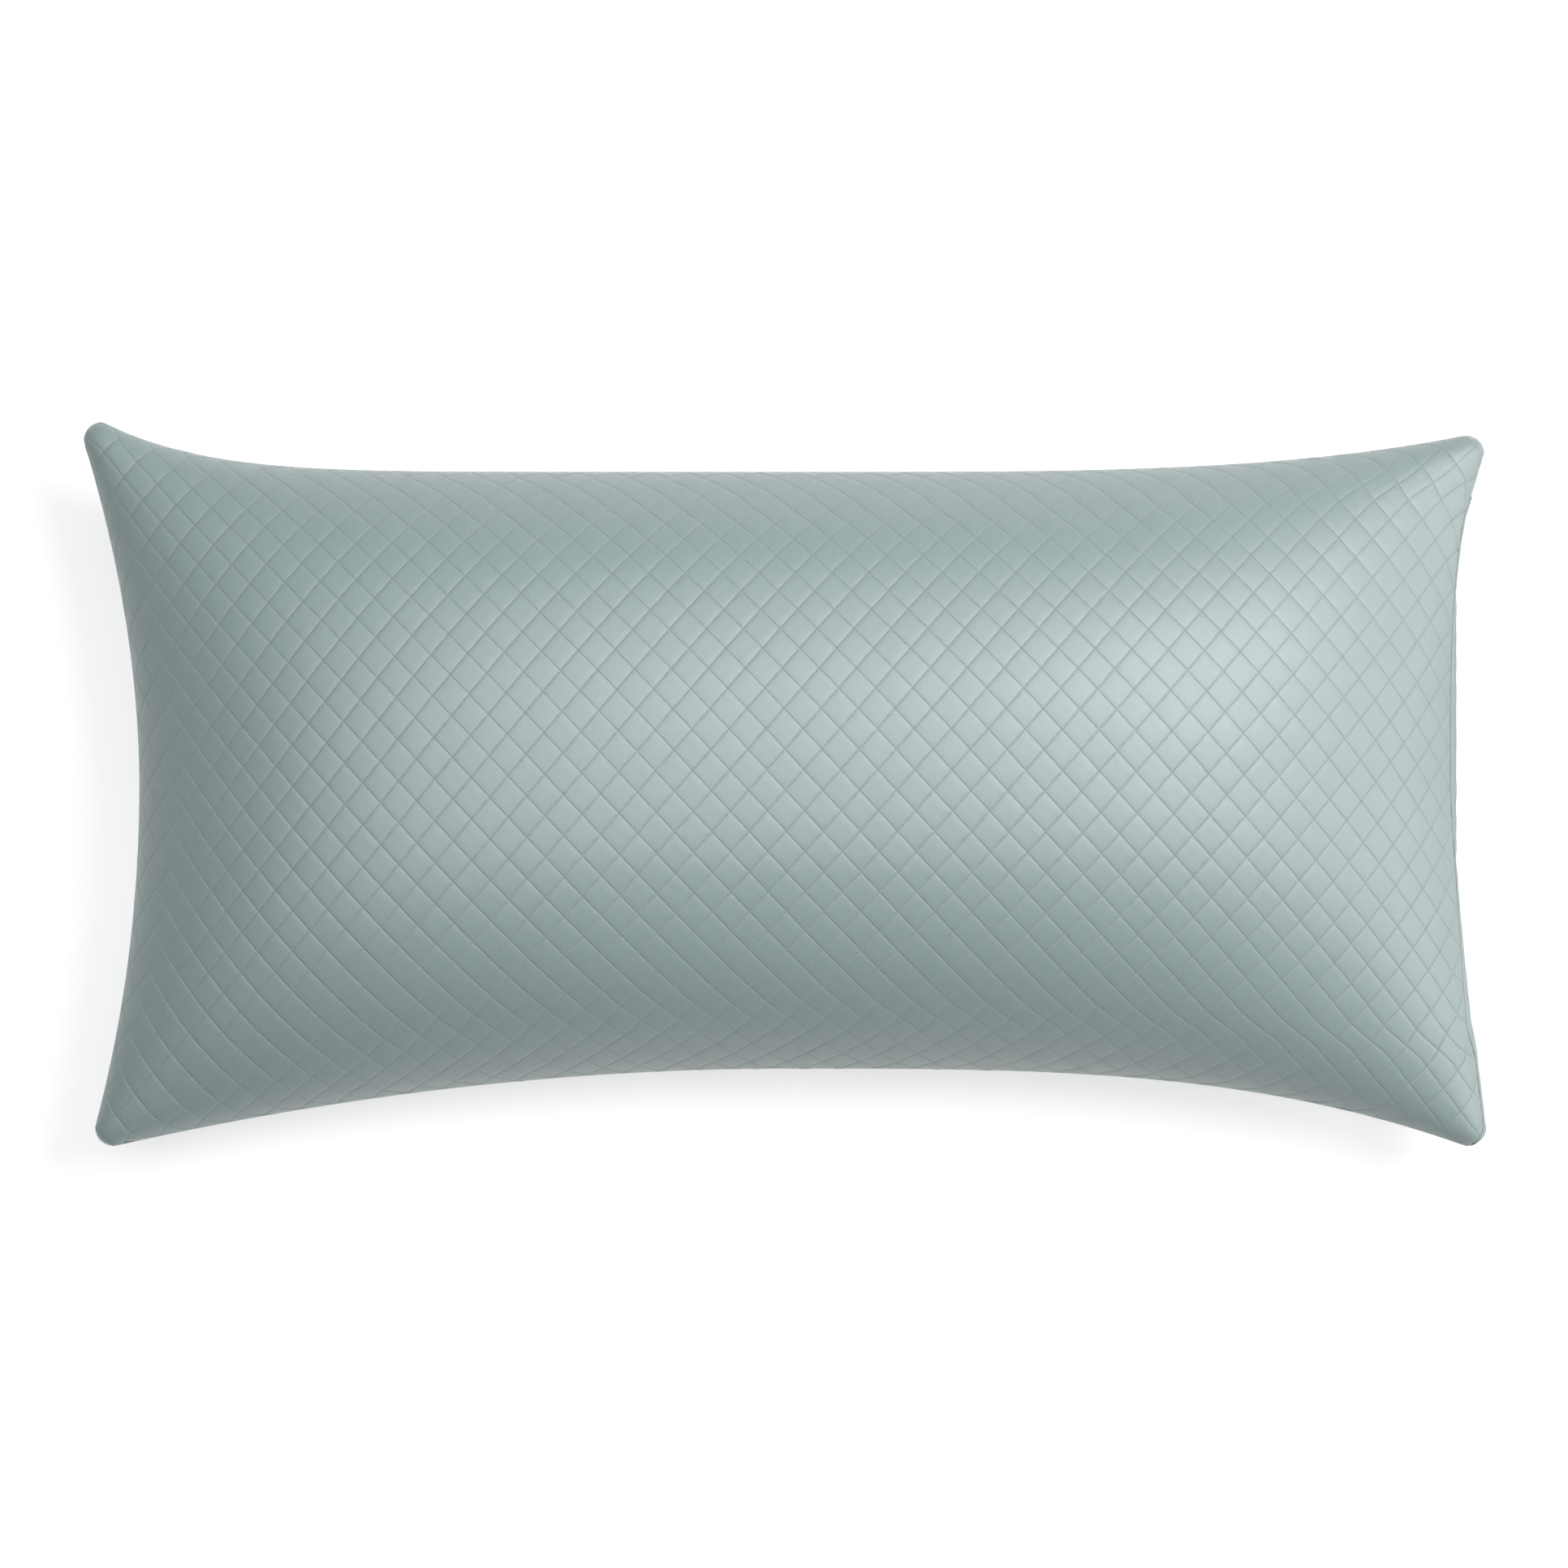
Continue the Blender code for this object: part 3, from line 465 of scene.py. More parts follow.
def flat_net(stops):
    """Points and faces of the flat panel, with lines of points along the weld lines."""
    corners = np.array([(x, y) for x in (-1, 1) for y in (-1, 1)]) / 2
    reach = lattice(corners[:, 0] * FLAT_LENGTH, corners[:, 1] * FLAT_WIDTH)
    axes = []
    for values in reach:
        first, last = math.floor(values.min()), math.ceil(values.max())
        axes.append(np.array([k + f for k in range(first, last) for f in stops] + [last]))
    a, b = np.meshgrid(*axes)
    y = (a - b) * PITCH_ACROSS / 2
    s = (a + b) * PITCH_ALONG / 2 + anchor[0]
    t = y + anchor[1]
    wide = a.shape[1]
    low = np.add.outer(np.arange(a.shape[0] - 1) * wide, np.arange(wide - 1)).ravel()
    quads = np.stack([low, low + wide, low + wide + 1, low + 1], 1)
    inside = ((np.abs(s.ravel()[quads]).min(1) < FLAT_LENGTH / 2)
              & (np.abs(t.ravel()[quads]).min(1) < FLAT_WIDTH / 2))
    quads = quads[inside]
    used, quads = np.unique(quads, return_inverse=True)
    mesh = bpy.data.meshes.new("flat_net")
    mesh.from_pydata(np.stack([s.ravel(), t.ravel(), 0 * s.ravel()], 1)[used].tolist(), [],
                     quads.reshape(-1, 4).tolist())
    bm = bmesh.new()
    bm.from_mesh(mesh)
    bpy.data.meshes.remove(mesh)
    for side, half in ((Vector((1, 0, 0)), FLAT_LENGTH / 2), (Vector((0, 1, 0)), FLAT_WIDTH / 2)):
        for sign in (1, -1):
            bmesh.ops.bisect_plane(bm, geom=bm.verts[:] + bm.edges[:] + bm.faces[:], dist=1e-6,
                                   plane_co=side * half * sign, plane_no=side * sign,
                                   clear_outer=True)
    bmesh.ops.remove_doubles(bm, verts=bm.verts, dist=2e-5)
    bm.verts.index_update()
    bm.normal_update()
    for face in bm.faces:
        if face.normal.z < 0:
            face.normal_flip()
    points = np.array([v.co[:2] for v in bm.verts])
    faces = [[v.index for v in f.verts] for f in bm.faces]
    rim = [(e.link_loops[0].vert.index, e.link_loops[0].link_loop_next.vert.index)
           for e in bm.edges if e.is_boundary]
    bm.free()
    return points, faces, rim


nets = {count: flat_net(stops) for count, stops in CELL_STOPS.items()}
print("points in the three nets:", {count: len(net[0]) for count, net in nets.items()})


# %% Build a closed sheet from a net
def add_piece(name, points, faces, places=None):
    """A smooth-shaded mesh object, with its flat cloth places as its UV map."""
    mesh = bpy.data.meshes.new(name)
    mesh.from_pydata(np.asarray(points).tolist(), [], faces)
    mesh.shade_smooth()
    if places is not None:
        corners = np.empty(len(mesh.loops), np.int32)
        mesh.loops.foreach_get("vertex_index", corners)
        layer = mesh.uv_layers.new(name="cloth")
        layer.data.foreach_set("uv", np.asarray(places)[corners].astype(np.float32).ravel())
    made = bpy.data.objects.new(name, mesh)
    bpy.context.scene.collection.objects.link(made)
    return made


def measured_cut(grid):
    """Width and length of a strip laid flat, from its rows of points."""
    across = np.linalg.norm(np.diff(grid, axis=0), axis=2).sum(0).mean()
    along = np.linalg.norm(np.diff(grid, axis=1), axis=2).sum(1).mean()
    return round(float(across), 4), round(float(along), 4)


def closed_sheet(name, shell, net, outer, inner):
    """One layer of the cover between two heights, each a function of s and t."""
    flat, faces, rim = net
    s, t = flat[:, 0], flat[:, 1]
    count = len(flat)
    points = np.concatenate([shell.at(s, t, outer(s, t)), shell.at(s, t, inner(s, t))])
    skins = [f if shell.top > 0 else f[::-1] for f in faces]
    skins += [[i + count for i in reversed(f)] for f in skins]
    edge = [(b, a, a + count, b + count) if shell.top > 0 else (a, b, b + count, a + count)
            for a, b in rim]
    x, y = pattern_place(s, t)
    return add_piece(name, points, skins + edge, np.tile(np.stack([x, y], 1), (2, 1)))


FACE, WADDING, BACKING, AIR = 0.0008, 0.0030, 0.0004, 0.00005


def pressed(s, t):
    """How far the wadding is squeezed: 1 on a weld line, 0 in the middle of a diamond."""
    across_a, across_b = (LINE_SPACING * (k - np.round(k)) for k in lattice(s, t))
    nearest = np.minimum(np.abs(across_a), np.abs(across_b))
    return np.exp(-(nearest / (2 * GROOVE_WIDTH)) ** 2)


def wadding_inside(s, t):
    return quilt_height(s, t) - FACE - AIR - WADDING * (1 - 0.85 * pressed(s, t))


pieces, cuts = {}, {}
for side, top in (("front", 1), ("back", -1)):
    shell = shells[top]
    pieces[f"{side}_face"] = closed_sheet(
        f"{side}_quilted_face", shell, nets[7], quilt_height, lambda s, t: quilt_height(s, t) - FACE)
    pieces[f"{side}_wadding"] = closed_sheet(
        f"{side}_wadding_layer", shell, nets[3], lambda s, t: quilt_height(s, t) - FACE - AIR,
        wadding_inside)
    pieces[f"{side}_backing"] = closed_sheet(
        f"{side}_backing_layer", shell, nets[2], lambda s, t: wadding_inside(s, t) - AIR,
        lambda s, t: wadding_inside(s, t) - AIR - BACKING)
for name, piece in pieces.items():
    print(name, len(piece.data.polygons), "faces")

# %% [markdown]
# ## Seam thread, overlocked edge and liner seam
# Two rows of stitches hold the pillow together: one joins the cover's panels, and one closes the
# liner. Each is a lockstitch, so it looks like a row of small plump dashes, one for each stitch.
# A smooth cord would read as wire. The cord here swells and narrows once for every stitch, and
# it lies in the crease between the two panels.

# %% Stitched cords
STITCH_LENGTH, THREAD_RADIUS = 0.0028, 0.00032
ALLOWANCE_LANES, ALLOWANCE_THICKNESS = (0.0056, 0.0072, 0.0088, 0.0104), 0.0010
SIDES, RINGS_PER_STITCH = 6, 4


def tube(name, path, radii, ring=False):
    """A round cord through these points, as wide at each as its radius says."""
    path, radii = np.asarray(path), np.asarray(radii)
    ahead = np.roll(path, -1, 0) - np.roll(path, 1, 0)
    if not ring:
        ahead[0], ahead[-1] = path[1] - path[0], path[-1] - path[-2]
    ahead /= np.linalg.norm(ahead, axis=1, keepdims=True)
    up = np.tile([0.0, 0.0, 1.0], (len(path), 1))
    up[np.abs(ahead[:, 2]) > 0.9] = (1, 0, 0)
    side = np.cross(ahead, up)
    side /= np.linalg.norm(side, axis=1, keepdims=True)
    up = np.cross(side, ahead)
    turns = np.arange(SIDES) * 2 * math.pi / SIDES
    points = (path[:, None] + radii[:, None, None]
              * (np.cos(turns)[None, :, None] * side[:, None] + np.sin(turns)[None, :, None] * up[:, None]))
    count = len(path)
    faces = []
    for k in range(count if ring else count - 1):
        n = (k + 1) % count
        faces += [(k * SIDES + i, k * SIDES + (i + 1) % SIDES, n * SIDES + (i + 1) % SIDES,
                   n * SIDES + i) for i in range(SIDES)]
    if not ring:
        faces += [tuple(range(SIDES))[::-1], tuple((count - 1) * SIDES + i for i in range(SIDES))]
    run = np.concatenate([[0], np.cumsum(np.linalg.norm(np.diff(path, axis=0), axis=1))])
    places = np.stack([np.repeat(run, SIDES), np.tile(turns * radii.max(), count)], 1)
    return add_piece(name, points.reshape(-1, 3), faces, places)


def stitched(name, path, ring=False):
    """Resamples a path and swells it once for each stitch."""
    path = np.asarray(path)
    if ring:
        path = np.concatenate([path, path[:1]])
    run = np.concatenate([[0], np.cumsum(np.linalg.norm(np.diff(path, axis=0), axis=1))])
    count = int(run[-1] / STITCH_LENGTH) * RINGS_PER_STITCH
    even = np.linspace(0, run[-1], count + 1)
    path = np.stack([np.interp(even, run, path[:, k]) for k in range(3)], 1)
    swell = 0.72 + 0.28 * np.abs(np.sin(np.arange(count + 1) * math.pi / RINGS_PER_STITCH))
    if ring:
        path, swell = path[:-1], swell[:-1]
    return tube(name, path, THREAD_RADIUS * swell, ring)


def seam_path(form, inset, start_v, end_v, count=240):
    """Points in the plane of the seam, round the outline, and closed if no gap is asked for."""
    line = np.linspace(-1, 1, count)
    right_up, right_down = line[line >= start_v], line[line <= end_v]
    u = np.concatenate([0 * right_up + 1, -line, 0 * line - 1, line, 0 * right_down + 1])
    v = np.concatenate([right_up, 0 * line + 1, -line, 0 * line - 1, right_down])
    points = form.point(u, v, 1)
    points = points[np.concatenate([[True], np.linalg.norm(np.diff(points, axis=0), axis=1) > 1e-6])]
    ahead = np.gradient(points, axis=0)
    inward = np.stack([-ahead[:, 1], ahead[:, 0]], 1)
    inward /= np.linalg.norm(inward, axis=1, keepdims=True)
    return np.stack([points[:, 0] + inward[:, 0] * inset, points[:, 1] + inward[:, 1] * inset,
                     np.full(len(points), SEAM_HEIGHT)], 1)


seam_low = (ZIP_LOW - ZIP_END - ZIP_TAPER) / HALF_WIDTH
seam_high = (ZIP_HIGH + ZIP_END + ZIP_TAPER) / HALF_WIDTH
pieces["seam_thread"] = stitched("seam_stitches", seam_path(cover_form, 0.0004, seam_high, seam_low))
allowance = []
for side in (1, -1):
    lanes = [seam_path(cover_form, inset, seam_high, seam_low) for inset in ALLOWANCE_LANES]
    allowance.append(np.stack(lanes) + (0, 0, side * ALLOWANCE_THICKNESS / 2))
print("cover seam:", len(pieces["seam_thread"].data.polygons), "faces")

# %% [markdown]
# ## Liner and filling
# Inside the quilted cover is a plain liner, sewn shut round loose polyester fibre. The liner is
# a thin cloth that wrinkles freely, and the filling is lumpy under it. Neither shows while the
# zip is closed, so they take the form's own formula with an irregular wave pressed into it,
# which costs nothing to run. Each stays clear inside the layer that is outside it.

# %% Liner shells and fibre filling
LINER_INSET, LINER_DEPTH, LINER_THICKNESS = 0.018, 0.0095, 0.0004
LINER_COLUMNS, LINER_ROWS = 150, 78
DENT_DEPTH, DENT_SEED, DENT_WAVES = 0.006, 11, 14


def dented(points, depth, seed, top):
    """Presses smooth irregular hollows into a form, none at its edge and none outwards."""
    random = np.random.default_rng(seed)
    x, y = points[..., 0], points[..., 1]
    wave = 0
    for _ in range(DENT_WAVES):
        angle = random.uniform(0, math.pi)
        length = random.uniform(0.02, 0.09)
        phase = random.uniform(0, 6.3)
        run = x * math.cos(angle) + y * math.sin(angle)
        wave = wave + length * np.sin(2 * math.pi * run / length + phase)
    wave = 0.5 + 0.5 * np.tanh(wave / 0.12)
    drop = depth * wave * smooth((top * (points[..., 2] - SEAM_HEIGHT) - 0.004) / 0.02)
    moved = points.copy()
    moved[..., 2] -= top * drop
    return moved


def laid_flat(grid):
    """How far each point of a grid lies across it and along it, measured over its surface."""
    across, along = np.zeros(grid.shape[:2]), np.zeros(grid.shape[:2])
    across[1:] = np.cumsum(np.linalg.norm(np.diff(grid, axis=0), axis=2), 0)
    along[:, 1:] = np.cumsum(np.linalg.norm(np.diff(grid, axis=1), axis=2), 1)
    return np.stack([along, across], -1).reshape(-1, 2)


def sheet_between(name, outer, inner, top):
    """A closed sheet from two grids of points."""
    rows, columns = outer.shape[:2]
    quads = grid_faces(rows, columns)
    if top < 0:
        quads = quads[:, ::-1]
    rim = rim_order(rows, columns)
    after = np.roll(rim, -1)
    count = rows * columns
    edge = np.stack([after, rim, rim + count, after + count], 1)
    if top < 0:
        edge = edge[:, ::-1]
    faces = np.concatenate([quads, quads[:, ::-1] + count, edge]).tolist()
    places = np.tile(laid_flat(outer), (2, 1))
    return add_piece(name, np.concatenate([outer.reshape(-1, 3), inner.reshape(-1, 3)]), faces, places)


pieces["allowance"] = sheet_between("seam_allowance_strip", *allowance, -1)


def eased_axis(count):
    return np.sin(math.pi * (np.linspace(0, 1, count + 1) - 0.5))


liner_u, liner_v = np.meshgrid(eased_axis(LINER_COLUMNS), eased_axis(LINER_ROWS))
fill_points = []
for side, top in (("front", 1), ("back", -1)):
    skins = []
    for depth, gap in ((0, 0.0008), (LINER_THICKNESS, 0.0004), (LINER_THICKNESS * 2.5, 0.0)):
        form = Form(LINER_INSET + depth, LINER_DEPTH + depth, gap, zipped=False)
        skins.append(dented(form.point(liner_u, liner_v, top), DENT_DEPTH, DENT_SEED + top, top))
    pieces[f"liner_{side}"] = sheet_between(f"liner_{side}_cloth", skins[0], skins[1], top)
    fill_points.append(skins[2])
quads = grid_faces(*liner_u.shape)
pieces["fill"] = add_piece("fibre_filling", np.concatenate([p.reshape(-1, 3) for p in fill_points]),
                           np.concatenate([quads, quads[:, ::-1] + liner_u.size]).tolist())
bm = bmesh.new()
bm.from_mesh(pieces["fill"].data)
bmesh.ops.remove_doubles(bm, verts=bm.verts, dist=1e-6)
bm.to_mesh(pieces["fill"].data)
bm.free()
liner_form = Form(LINER_INSET, LINER_DEPTH, 0.0, zipped=False)
pieces["liner_thread"] = stitched("liner_stitches", seam_path(liner_form, 0.0012, 1, -1), ring=True)
print("filling:", len(pieces["fill"].data.polygons), "faces")

# %% [markdown]
# ## Zip facings
# The zip is hidden. On each side of it a strip of the same satin is sewn to the quilted panel,
# runs out over the edge as a plain band, and folds back in beside the coil. The band hardly
# shows along most of the side and widens towards one ear, where it carries on round the corner.
# The strip follows the panel's own edge, so it is lofted through sections that start on the
# panel's surface and end behind the coil, with room left for the slider between the two folds.

# %% Facing sections
FACING, SLOT_HALF_HEIGHT = 0.0005, 0.00355
BAND_LIFT = 0.00008
STATIONS = 260


def facing_grid(shell, thickness):
    """Rows of points across the facing, one row for each station along the zip's side."""
    t = np.linspace(-0.5, 0.415, STATIONS) * FLAT_WIDTH
    rim_s = np.full_like(t, FLAT_LENGTH / 2)
    width = band_width(t)
    rows = []
    for share, lift in ((1, 0.12), (0.88, 0.55), (0.72, 0.9), (0.4, 1.0), (0.15, 1.0)):
        height = BAND_LIFT + (FACING * lift if thickness == 0 else 0)
        rows.append(shell.at(rim_s - share * width, t, np.full_like(t, height)))
    rim = shell.place(rim_s, t)
    lift = shell.top * (rim[:, 2] - SEAM_HEIGHT)
    opened = zip_opening(rim[:, 1])
    tucked = 1 - 0.4 * smooth((t / FLAT_WIDTH - 0.39) / 0.025)
    outer = np.maximum(rim[:, 0], CHAIN_FACE + 0.0008) + 0.0004 * tucked - thickness
    slot = SLOT_HALF_HEIGHT * opened + 0.00012 * (1 - opened)
    soft = 0.25 * FACING * ripple(t, 8)
    for share, out, where in ((0.75, 0.5, 0), (0.45, 1.0, 0), (0.2, 1.0, 0), (0.05, 0.6, 0), (0, 0, 1),
                              (0, -1.0, 1), (0, -2.4, 1)):
        height = slot + (np.maximum(lift, slot) - slot) * share + thickness * where * opened
        back = np.minimum(-0.0014, CHAIN_FACE - 0.0013 - outer) * opened - 0.0012 * (1 - opened)
        shift = np.where(out >= 0, 0.0006 * out * tucked, back * (-out / 2.4))
        rows.append(np.stack([outer + shift + soft * (out > 0), rim[:, 1],
                              SEAM_HEIGHT + shell.top * height], 1))
    return np.stack(rows, 0)


for side, top in (("front", 1), ("back", -1)):
    outer, inner = facing_grid(shells[top], 0.0), facing_grid(shells[top], FACING)
    cuts[f"facing_{side}"] = measured_cut(outer)
    pieces[f"facing_{side}"] = sheet_between(f"zip_facing_{side}_strip", outer, inner, -top)
print("facings:", len(pieces["facing_front"].data.polygons), "faces each")

# %% [markdown]
# ## Zip tapes and coil
# A nylon zip has two woven tapes, each with a plastic filament sewn along its edge. The filament
# is wound into a flat spiral, and its turns are the teeth. Two bars would do from far away, but
# the turns are what makes it a zip in any closer view, so each row is a real spiral, with the
# other row half a turn further on. The thin slit between them is where the slider's wedge runs.

# %% Coil and tapes
COIL_PITCH, WIRE_RADIUS = 0.00125, 0.00024
POINTS_PER_TURN = 9
chain_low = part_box("zip_teeth_front")[0]


def coil_row(name, node, phase):
    low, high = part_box(node)
    turns = (high.y - low.y - 2 * WIRE_RADIUS) / COIL_PITCH
    along = np.linspace(0, 1, int(turns * POINTS_PER_TURN))
    angle = 2 * math.pi * turns * along + phase
    path = np.stack([(low.x + high.x) / 2 + ((high.x - low.x) / 2 - WIRE_RADIUS) * np.cos(angle),
                     low.y + WIRE_RADIUS + along * (high.y - low.y - 2 * WIRE_RADIUS),
                     (low.z + high.z) / 2 + ((high.z - low.z) / 2 - WIRE_RADIUS) * np.sin(angle)], 1)
    return tube(name, path, np.full(len(path), WIRE_RADIUS))


TAPE_UP, TAPE_BACK, TAPE_THICKNESS, TAPE_TAIL = 0.0056, 0.0060, 0.00035, 0.022


def tape_strip(name, top):
    """A woven strip: flat behind the coil, then turned in towards the filling."""
    low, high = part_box("zip_tape_front")
    stations = np.linspace(low.y - TAPE_TAIL, high.y + TAPE_TAIL, 70)
    front_x = chain_low.x - 0.00025
    grids = []
    for thick in (0.0, TAPE_THICKNESS):
        section = [(front_x - thick, height) for height in (0.0005, 0.0022, 0.0042, TAPE_UP - 0.0006)]
        section += [(front_x - 0.0006 - thick * 0.5, TAPE_UP - thick * 0.5),
                    (front_x - 0.0022, TAPE_UP + 0.0003 - thick),
                    (front_x - TAPE_BACK, TAPE_UP + 0.0003 - thick)]
        grids.append(np.array([[(x, y, SEAM_HEIGHT + top * w) for y in stations] for x, w in section]))
    return sheet_between(name, grids[0], grids[1], -top), measured_cut(grids[0])


for side, top, phase in (("front", 1, 0.0), ("back", -1, math.pi)):
    pieces[f"teeth_{side}"] = coil_row(f"zip_coil_{side}", f"zip_teeth_{side}", phase)
    pieces[f"tape_{side}"], cuts[f"tape_{side}"] = tape_strip(f"zip_tape_{side}_strip", top)
print("coil:", len(pieces["teeth_front"].data.polygons), "faces each row")

# %% [markdown]
# ## Care label
# A small folded satin label is sewn into the left seam and lies against the underside. It is
# left blank. It takes its place from its plain solid and its curve from the back panel, with its
# free end lifting away a little, as a folded ribbon does.

# %% Label
LABEL_THICKNESS = 0.0003
label_low, label_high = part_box("care_label")


def label_grid(lift):
    reach, across = np.meshgrid(np.linspace(0.0035, 0.034, 26), np.linspace(label_low.y, label_high.y, 16))
    shell = shells[-1]
    t = across * FLAT_WIDTH / (2 * (HALF_WIDTH - 0.02))
    lifted = 0.0006 * smooth((reach - 0.003) / 0.008) + 0.0022 * smooth((reach - 0.018) / 0.018)
    curl = 0.0002 + lifted + 0.0003 * (1 + np.sin(across * 260))
    points = shell.at(-FLAT_LENGTH / 2 + reach.ravel(), t.ravel(), curl.ravel() + lift)
    return points.reshape(*reach.shape, 3)


cuts["label"] = measured_cut(label_grid(0.0))
pieces["label"] = sheet_between("care_label_ribbon", label_grid(LABEL_THICKNESS), label_grid(0.0), -1)
print("label:", len(pieces["label"].data.polygons), "faces")

# %% [markdown]
# ## Finishes
# Three effects come back in several finishes: a woven thread structure, a loose fibre mass and
# the light wear of handled parts. Each is a node group with named inputs, built once and given
# its own numbers in each material. The dashed weld marks belong to the quilted satin alone, but
# are built in the same way. The shader itself stays in the material.


# %% Helpers for nodes
def put(tree, kind, inputs=None, **settings):
    """A node with its settings, and each input either a number or a link."""
    node = tree.nodes.new(kind)
    for key, value in settings.items():
        setattr(node, key, value)
    for key, value in (inputs or {}).items():
        if isinstance(value, bpy.types.NodeSocket):
            tree.links.new(value, node.inputs[key])
        else:
            node.inputs[key].default_value = value
    return node


def calc(tree, operation, first, second=0.0, third=None):
    given = {0: first, 1: second}
    if third is not None:
        given[2] = third
    return put(tree, "ShaderNodeMath", given, operation=operation).outputs[0]


def new_group(name, inputs, outputs):
    tree = bpy.data.node_groups.new(name, "ShaderNodeTree")
    for label, kind, value in inputs:
        socket = tree.interface.new_socket(label, in_out="INPUT", socket_type="NodeSocket" + kind)
        if value is not None:
            socket.default_value = value
    for label in outputs:
        tree.interface.new_socket(label, in_out="OUTPUT", socket_type="NodeSocketFloat")
    return tree, tree.nodes.new("NodeGroupInput").outputs, tree.nodes.new("NodeGroupOutput").inputs


def give(tree, out, values):
    for label, socket in values.items():
        tree.links.new(socket, out[label])


# %% Weld marks
MARK_HALF_LENGTH, MARK_HALF_WIDTH, MARK_SPACING = 0.00085, 0.00034, 0.0015
MARK_TURNS = math.radians(-22), math.radians(62)


def family_marks(tree, between, along_lines, spacing_between, half_cell, step, turn):
    """Short slanted strokes along one family of weld lines, as a mask."""
    off = calc(tree, "SUBTRACT", between, calc(tree, "ROUND", between))
    across = calc(tree, "MULTIPLY", off, spacing_between)
    along = calc(tree, "DIVIDE", calc(tree, "MULTIPLY", along_lines, half_cell), step)
    rest = calc(tree, "MULTIPLY", calc(tree, "SUBTRACT", along, calc(tree, "ROUND", along)), step)
    cosine, sine = math.cos(turn), math.sin(turn)
    length = calc(tree, "MULTIPLY_ADD", rest, cosine, calc(tree, "MULTIPLY", across, sine))
    width = calc(tree, "MULTIPLY_ADD", rest, -sine, calc(tree, "MULTIPLY", across, cosine))
    squares = calc(tree, "ADD", calc(tree, "POWER", calc(tree, "DIVIDE", length, MARK_HALF_LENGTH), 2.0),
                   calc(tree, "POWER", calc(tree, "DIVIDE", width, MARK_HALF_WIDTH), 2.0))
    mark = calc(tree, "SUBTRACT", 1.0, squares)
    return calc(tree, "MAXIMUM", mark, 0.0)


def build_weld_marks():
    tree, given, out = new_group("weld marks", [
        ("Cloth place", "Vector", None), ("Pitch along", "Float", PITCH_ALONG),
        ("Pitch across", "Float", PITCH_ACROSS), ("Mark spacing", "Float", MARK_SPACING)], ["Marks"])
    xy = put(tree, "ShaderNodeSeparateXYZ", {0: given["Cloth place"]}).outputs
    along = calc(tree, "DIVIDE", xy["X"], given["Pitch along"])
    across = calc(tree, "DIVIDE", xy["Y"], given["Pitch across"])
    a, b = calc(tree, "ADD", along, across), calc(tree, "SUBTRACT", along, across)
    both = calc(tree, "SQRT", calc(tree, "ADD", calc(tree, "POWER", given["Pitch along"], 2.0),
                                   calc(tree, "POWER", given["Pitch across"], 2.0)))
    area = calc(tree, "MULTIPLY", given["Pitch along"], given["Pitch across"])
    between = calc(tree, "DIVIDE", area, both)
    half = calc(tree, "MULTIPLY", both, 0.5)
    step = given["Mark spacing"]
    first = family_marks(tree, a, b, between, half, step, MARK_TURNS[0])
    second = family_marks(tree, b, a, between, half, step, MARK_TURNS[1])
    give(tree, out, {"Marks": calc(tree, "MAXIMUM", first, second)})
    return tree


def build_weave():
    """Crossing threads with slubs: a height for bump, and a tone for colour and roughness."""
    tree, given, out = new_group("woven threads", [
        ("Cloth place", "Vector", None), ("Thread spacing", "Float", 0.0003),
        ("Slub length", "Float", 0.02), ("Over and under", "Float", 1.0)], ["Height", "Tone"])
    xy = put(tree, "ShaderNodeSeparateXYZ", {0: given["Cloth place"]}).outputs
    rate = calc(tree, "DIVIDE", math.pi, given["Thread spacing"])
    warp = calc(tree, "ABSOLUTE", calc(tree, "SINE", calc(tree, "MULTIPLY", xy["X"], rate)))
    weft = calc(tree, "ABSOLUTE", calc(tree, "SINE", calc(tree, "MULTIPLY", xy["Y"], rate)))
    crossing = calc(tree, "MULTIPLY", warp, weft)
    height = calc(tree, "MULTIPLY_ADD", crossing, given["Over and under"],
                  calc(tree, "MAXIMUM", warp, weft))
    tones = []
    for narrow in (("X", "Y"), ("Y", "X")):
        fine = calc(tree, "DIVIDE", xy[narrow[0]], calc(tree, "MULTIPLY", given["Thread spacing"], 3.0))
        long = calc(tree, "DIVIDE", xy[narrow[1]], given["Slub length"])
        place = put(tree, "ShaderNodeCombineXYZ", {0: fine, 1: long, 2: 0.37}).outputs[0]
        tones.append(put(tree, "ShaderNodeTexNoise", {"Vector": place, "Scale": 1.0, "Detail": 2.0,
                                                      "Roughness": 0.6}).outputs["Fac"])
    mottle = put(tree, "ShaderNodeTexNoise", {"Vector": given["Cloth place"], "Scale": 38.0, "Detail": 5.0,
                                              "Roughness": 0.62}).outputs["Fac"]
    streaks = calc(tree, "MULTIPLY", calc(tree, "ADD", tones[0], tones[1]), 0.32)
    give(tree, out, {"Height": height, "Tone": calc(tree, "MULTIPLY_ADD", mottle, 0.36, streaks)})
    return tree


def build_fibres():
    tree, given, out = new_group("loose fibres", [
        ("Place", "Vector", None), ("Clump size", "Float", 0.012)], ["Height", "Tone"])
    scale = calc(tree, "DIVIDE", 1.0, given["Clump size"])
    clumps = put(tree, "ShaderNodeTexNoise", {"Vector": given["Place"], "Scale": scale, "Detail": 6.0,
                                              "Roughness": 0.7, "Distortion": 1.4}).outputs["Fac"]
    strands = put(tree, "ShaderNodeTexNoise", {
        "Vector": given["Place"], "Scale": calc(tree, "MULTIPLY", scale, 9.0), "Detail": 4.0,
        "Distortion": 3.0}).outputs["Fac"]
    give(tree, out, {"Height": calc(tree, "MULTIPLY_ADD", strands, 0.4, clumps),
                     "Tone": calc(tree, "MULTIPLY_ADD", strands, 0.5, calc(tree, "MULTIPLY", clumps, 0.5))})
    return tree


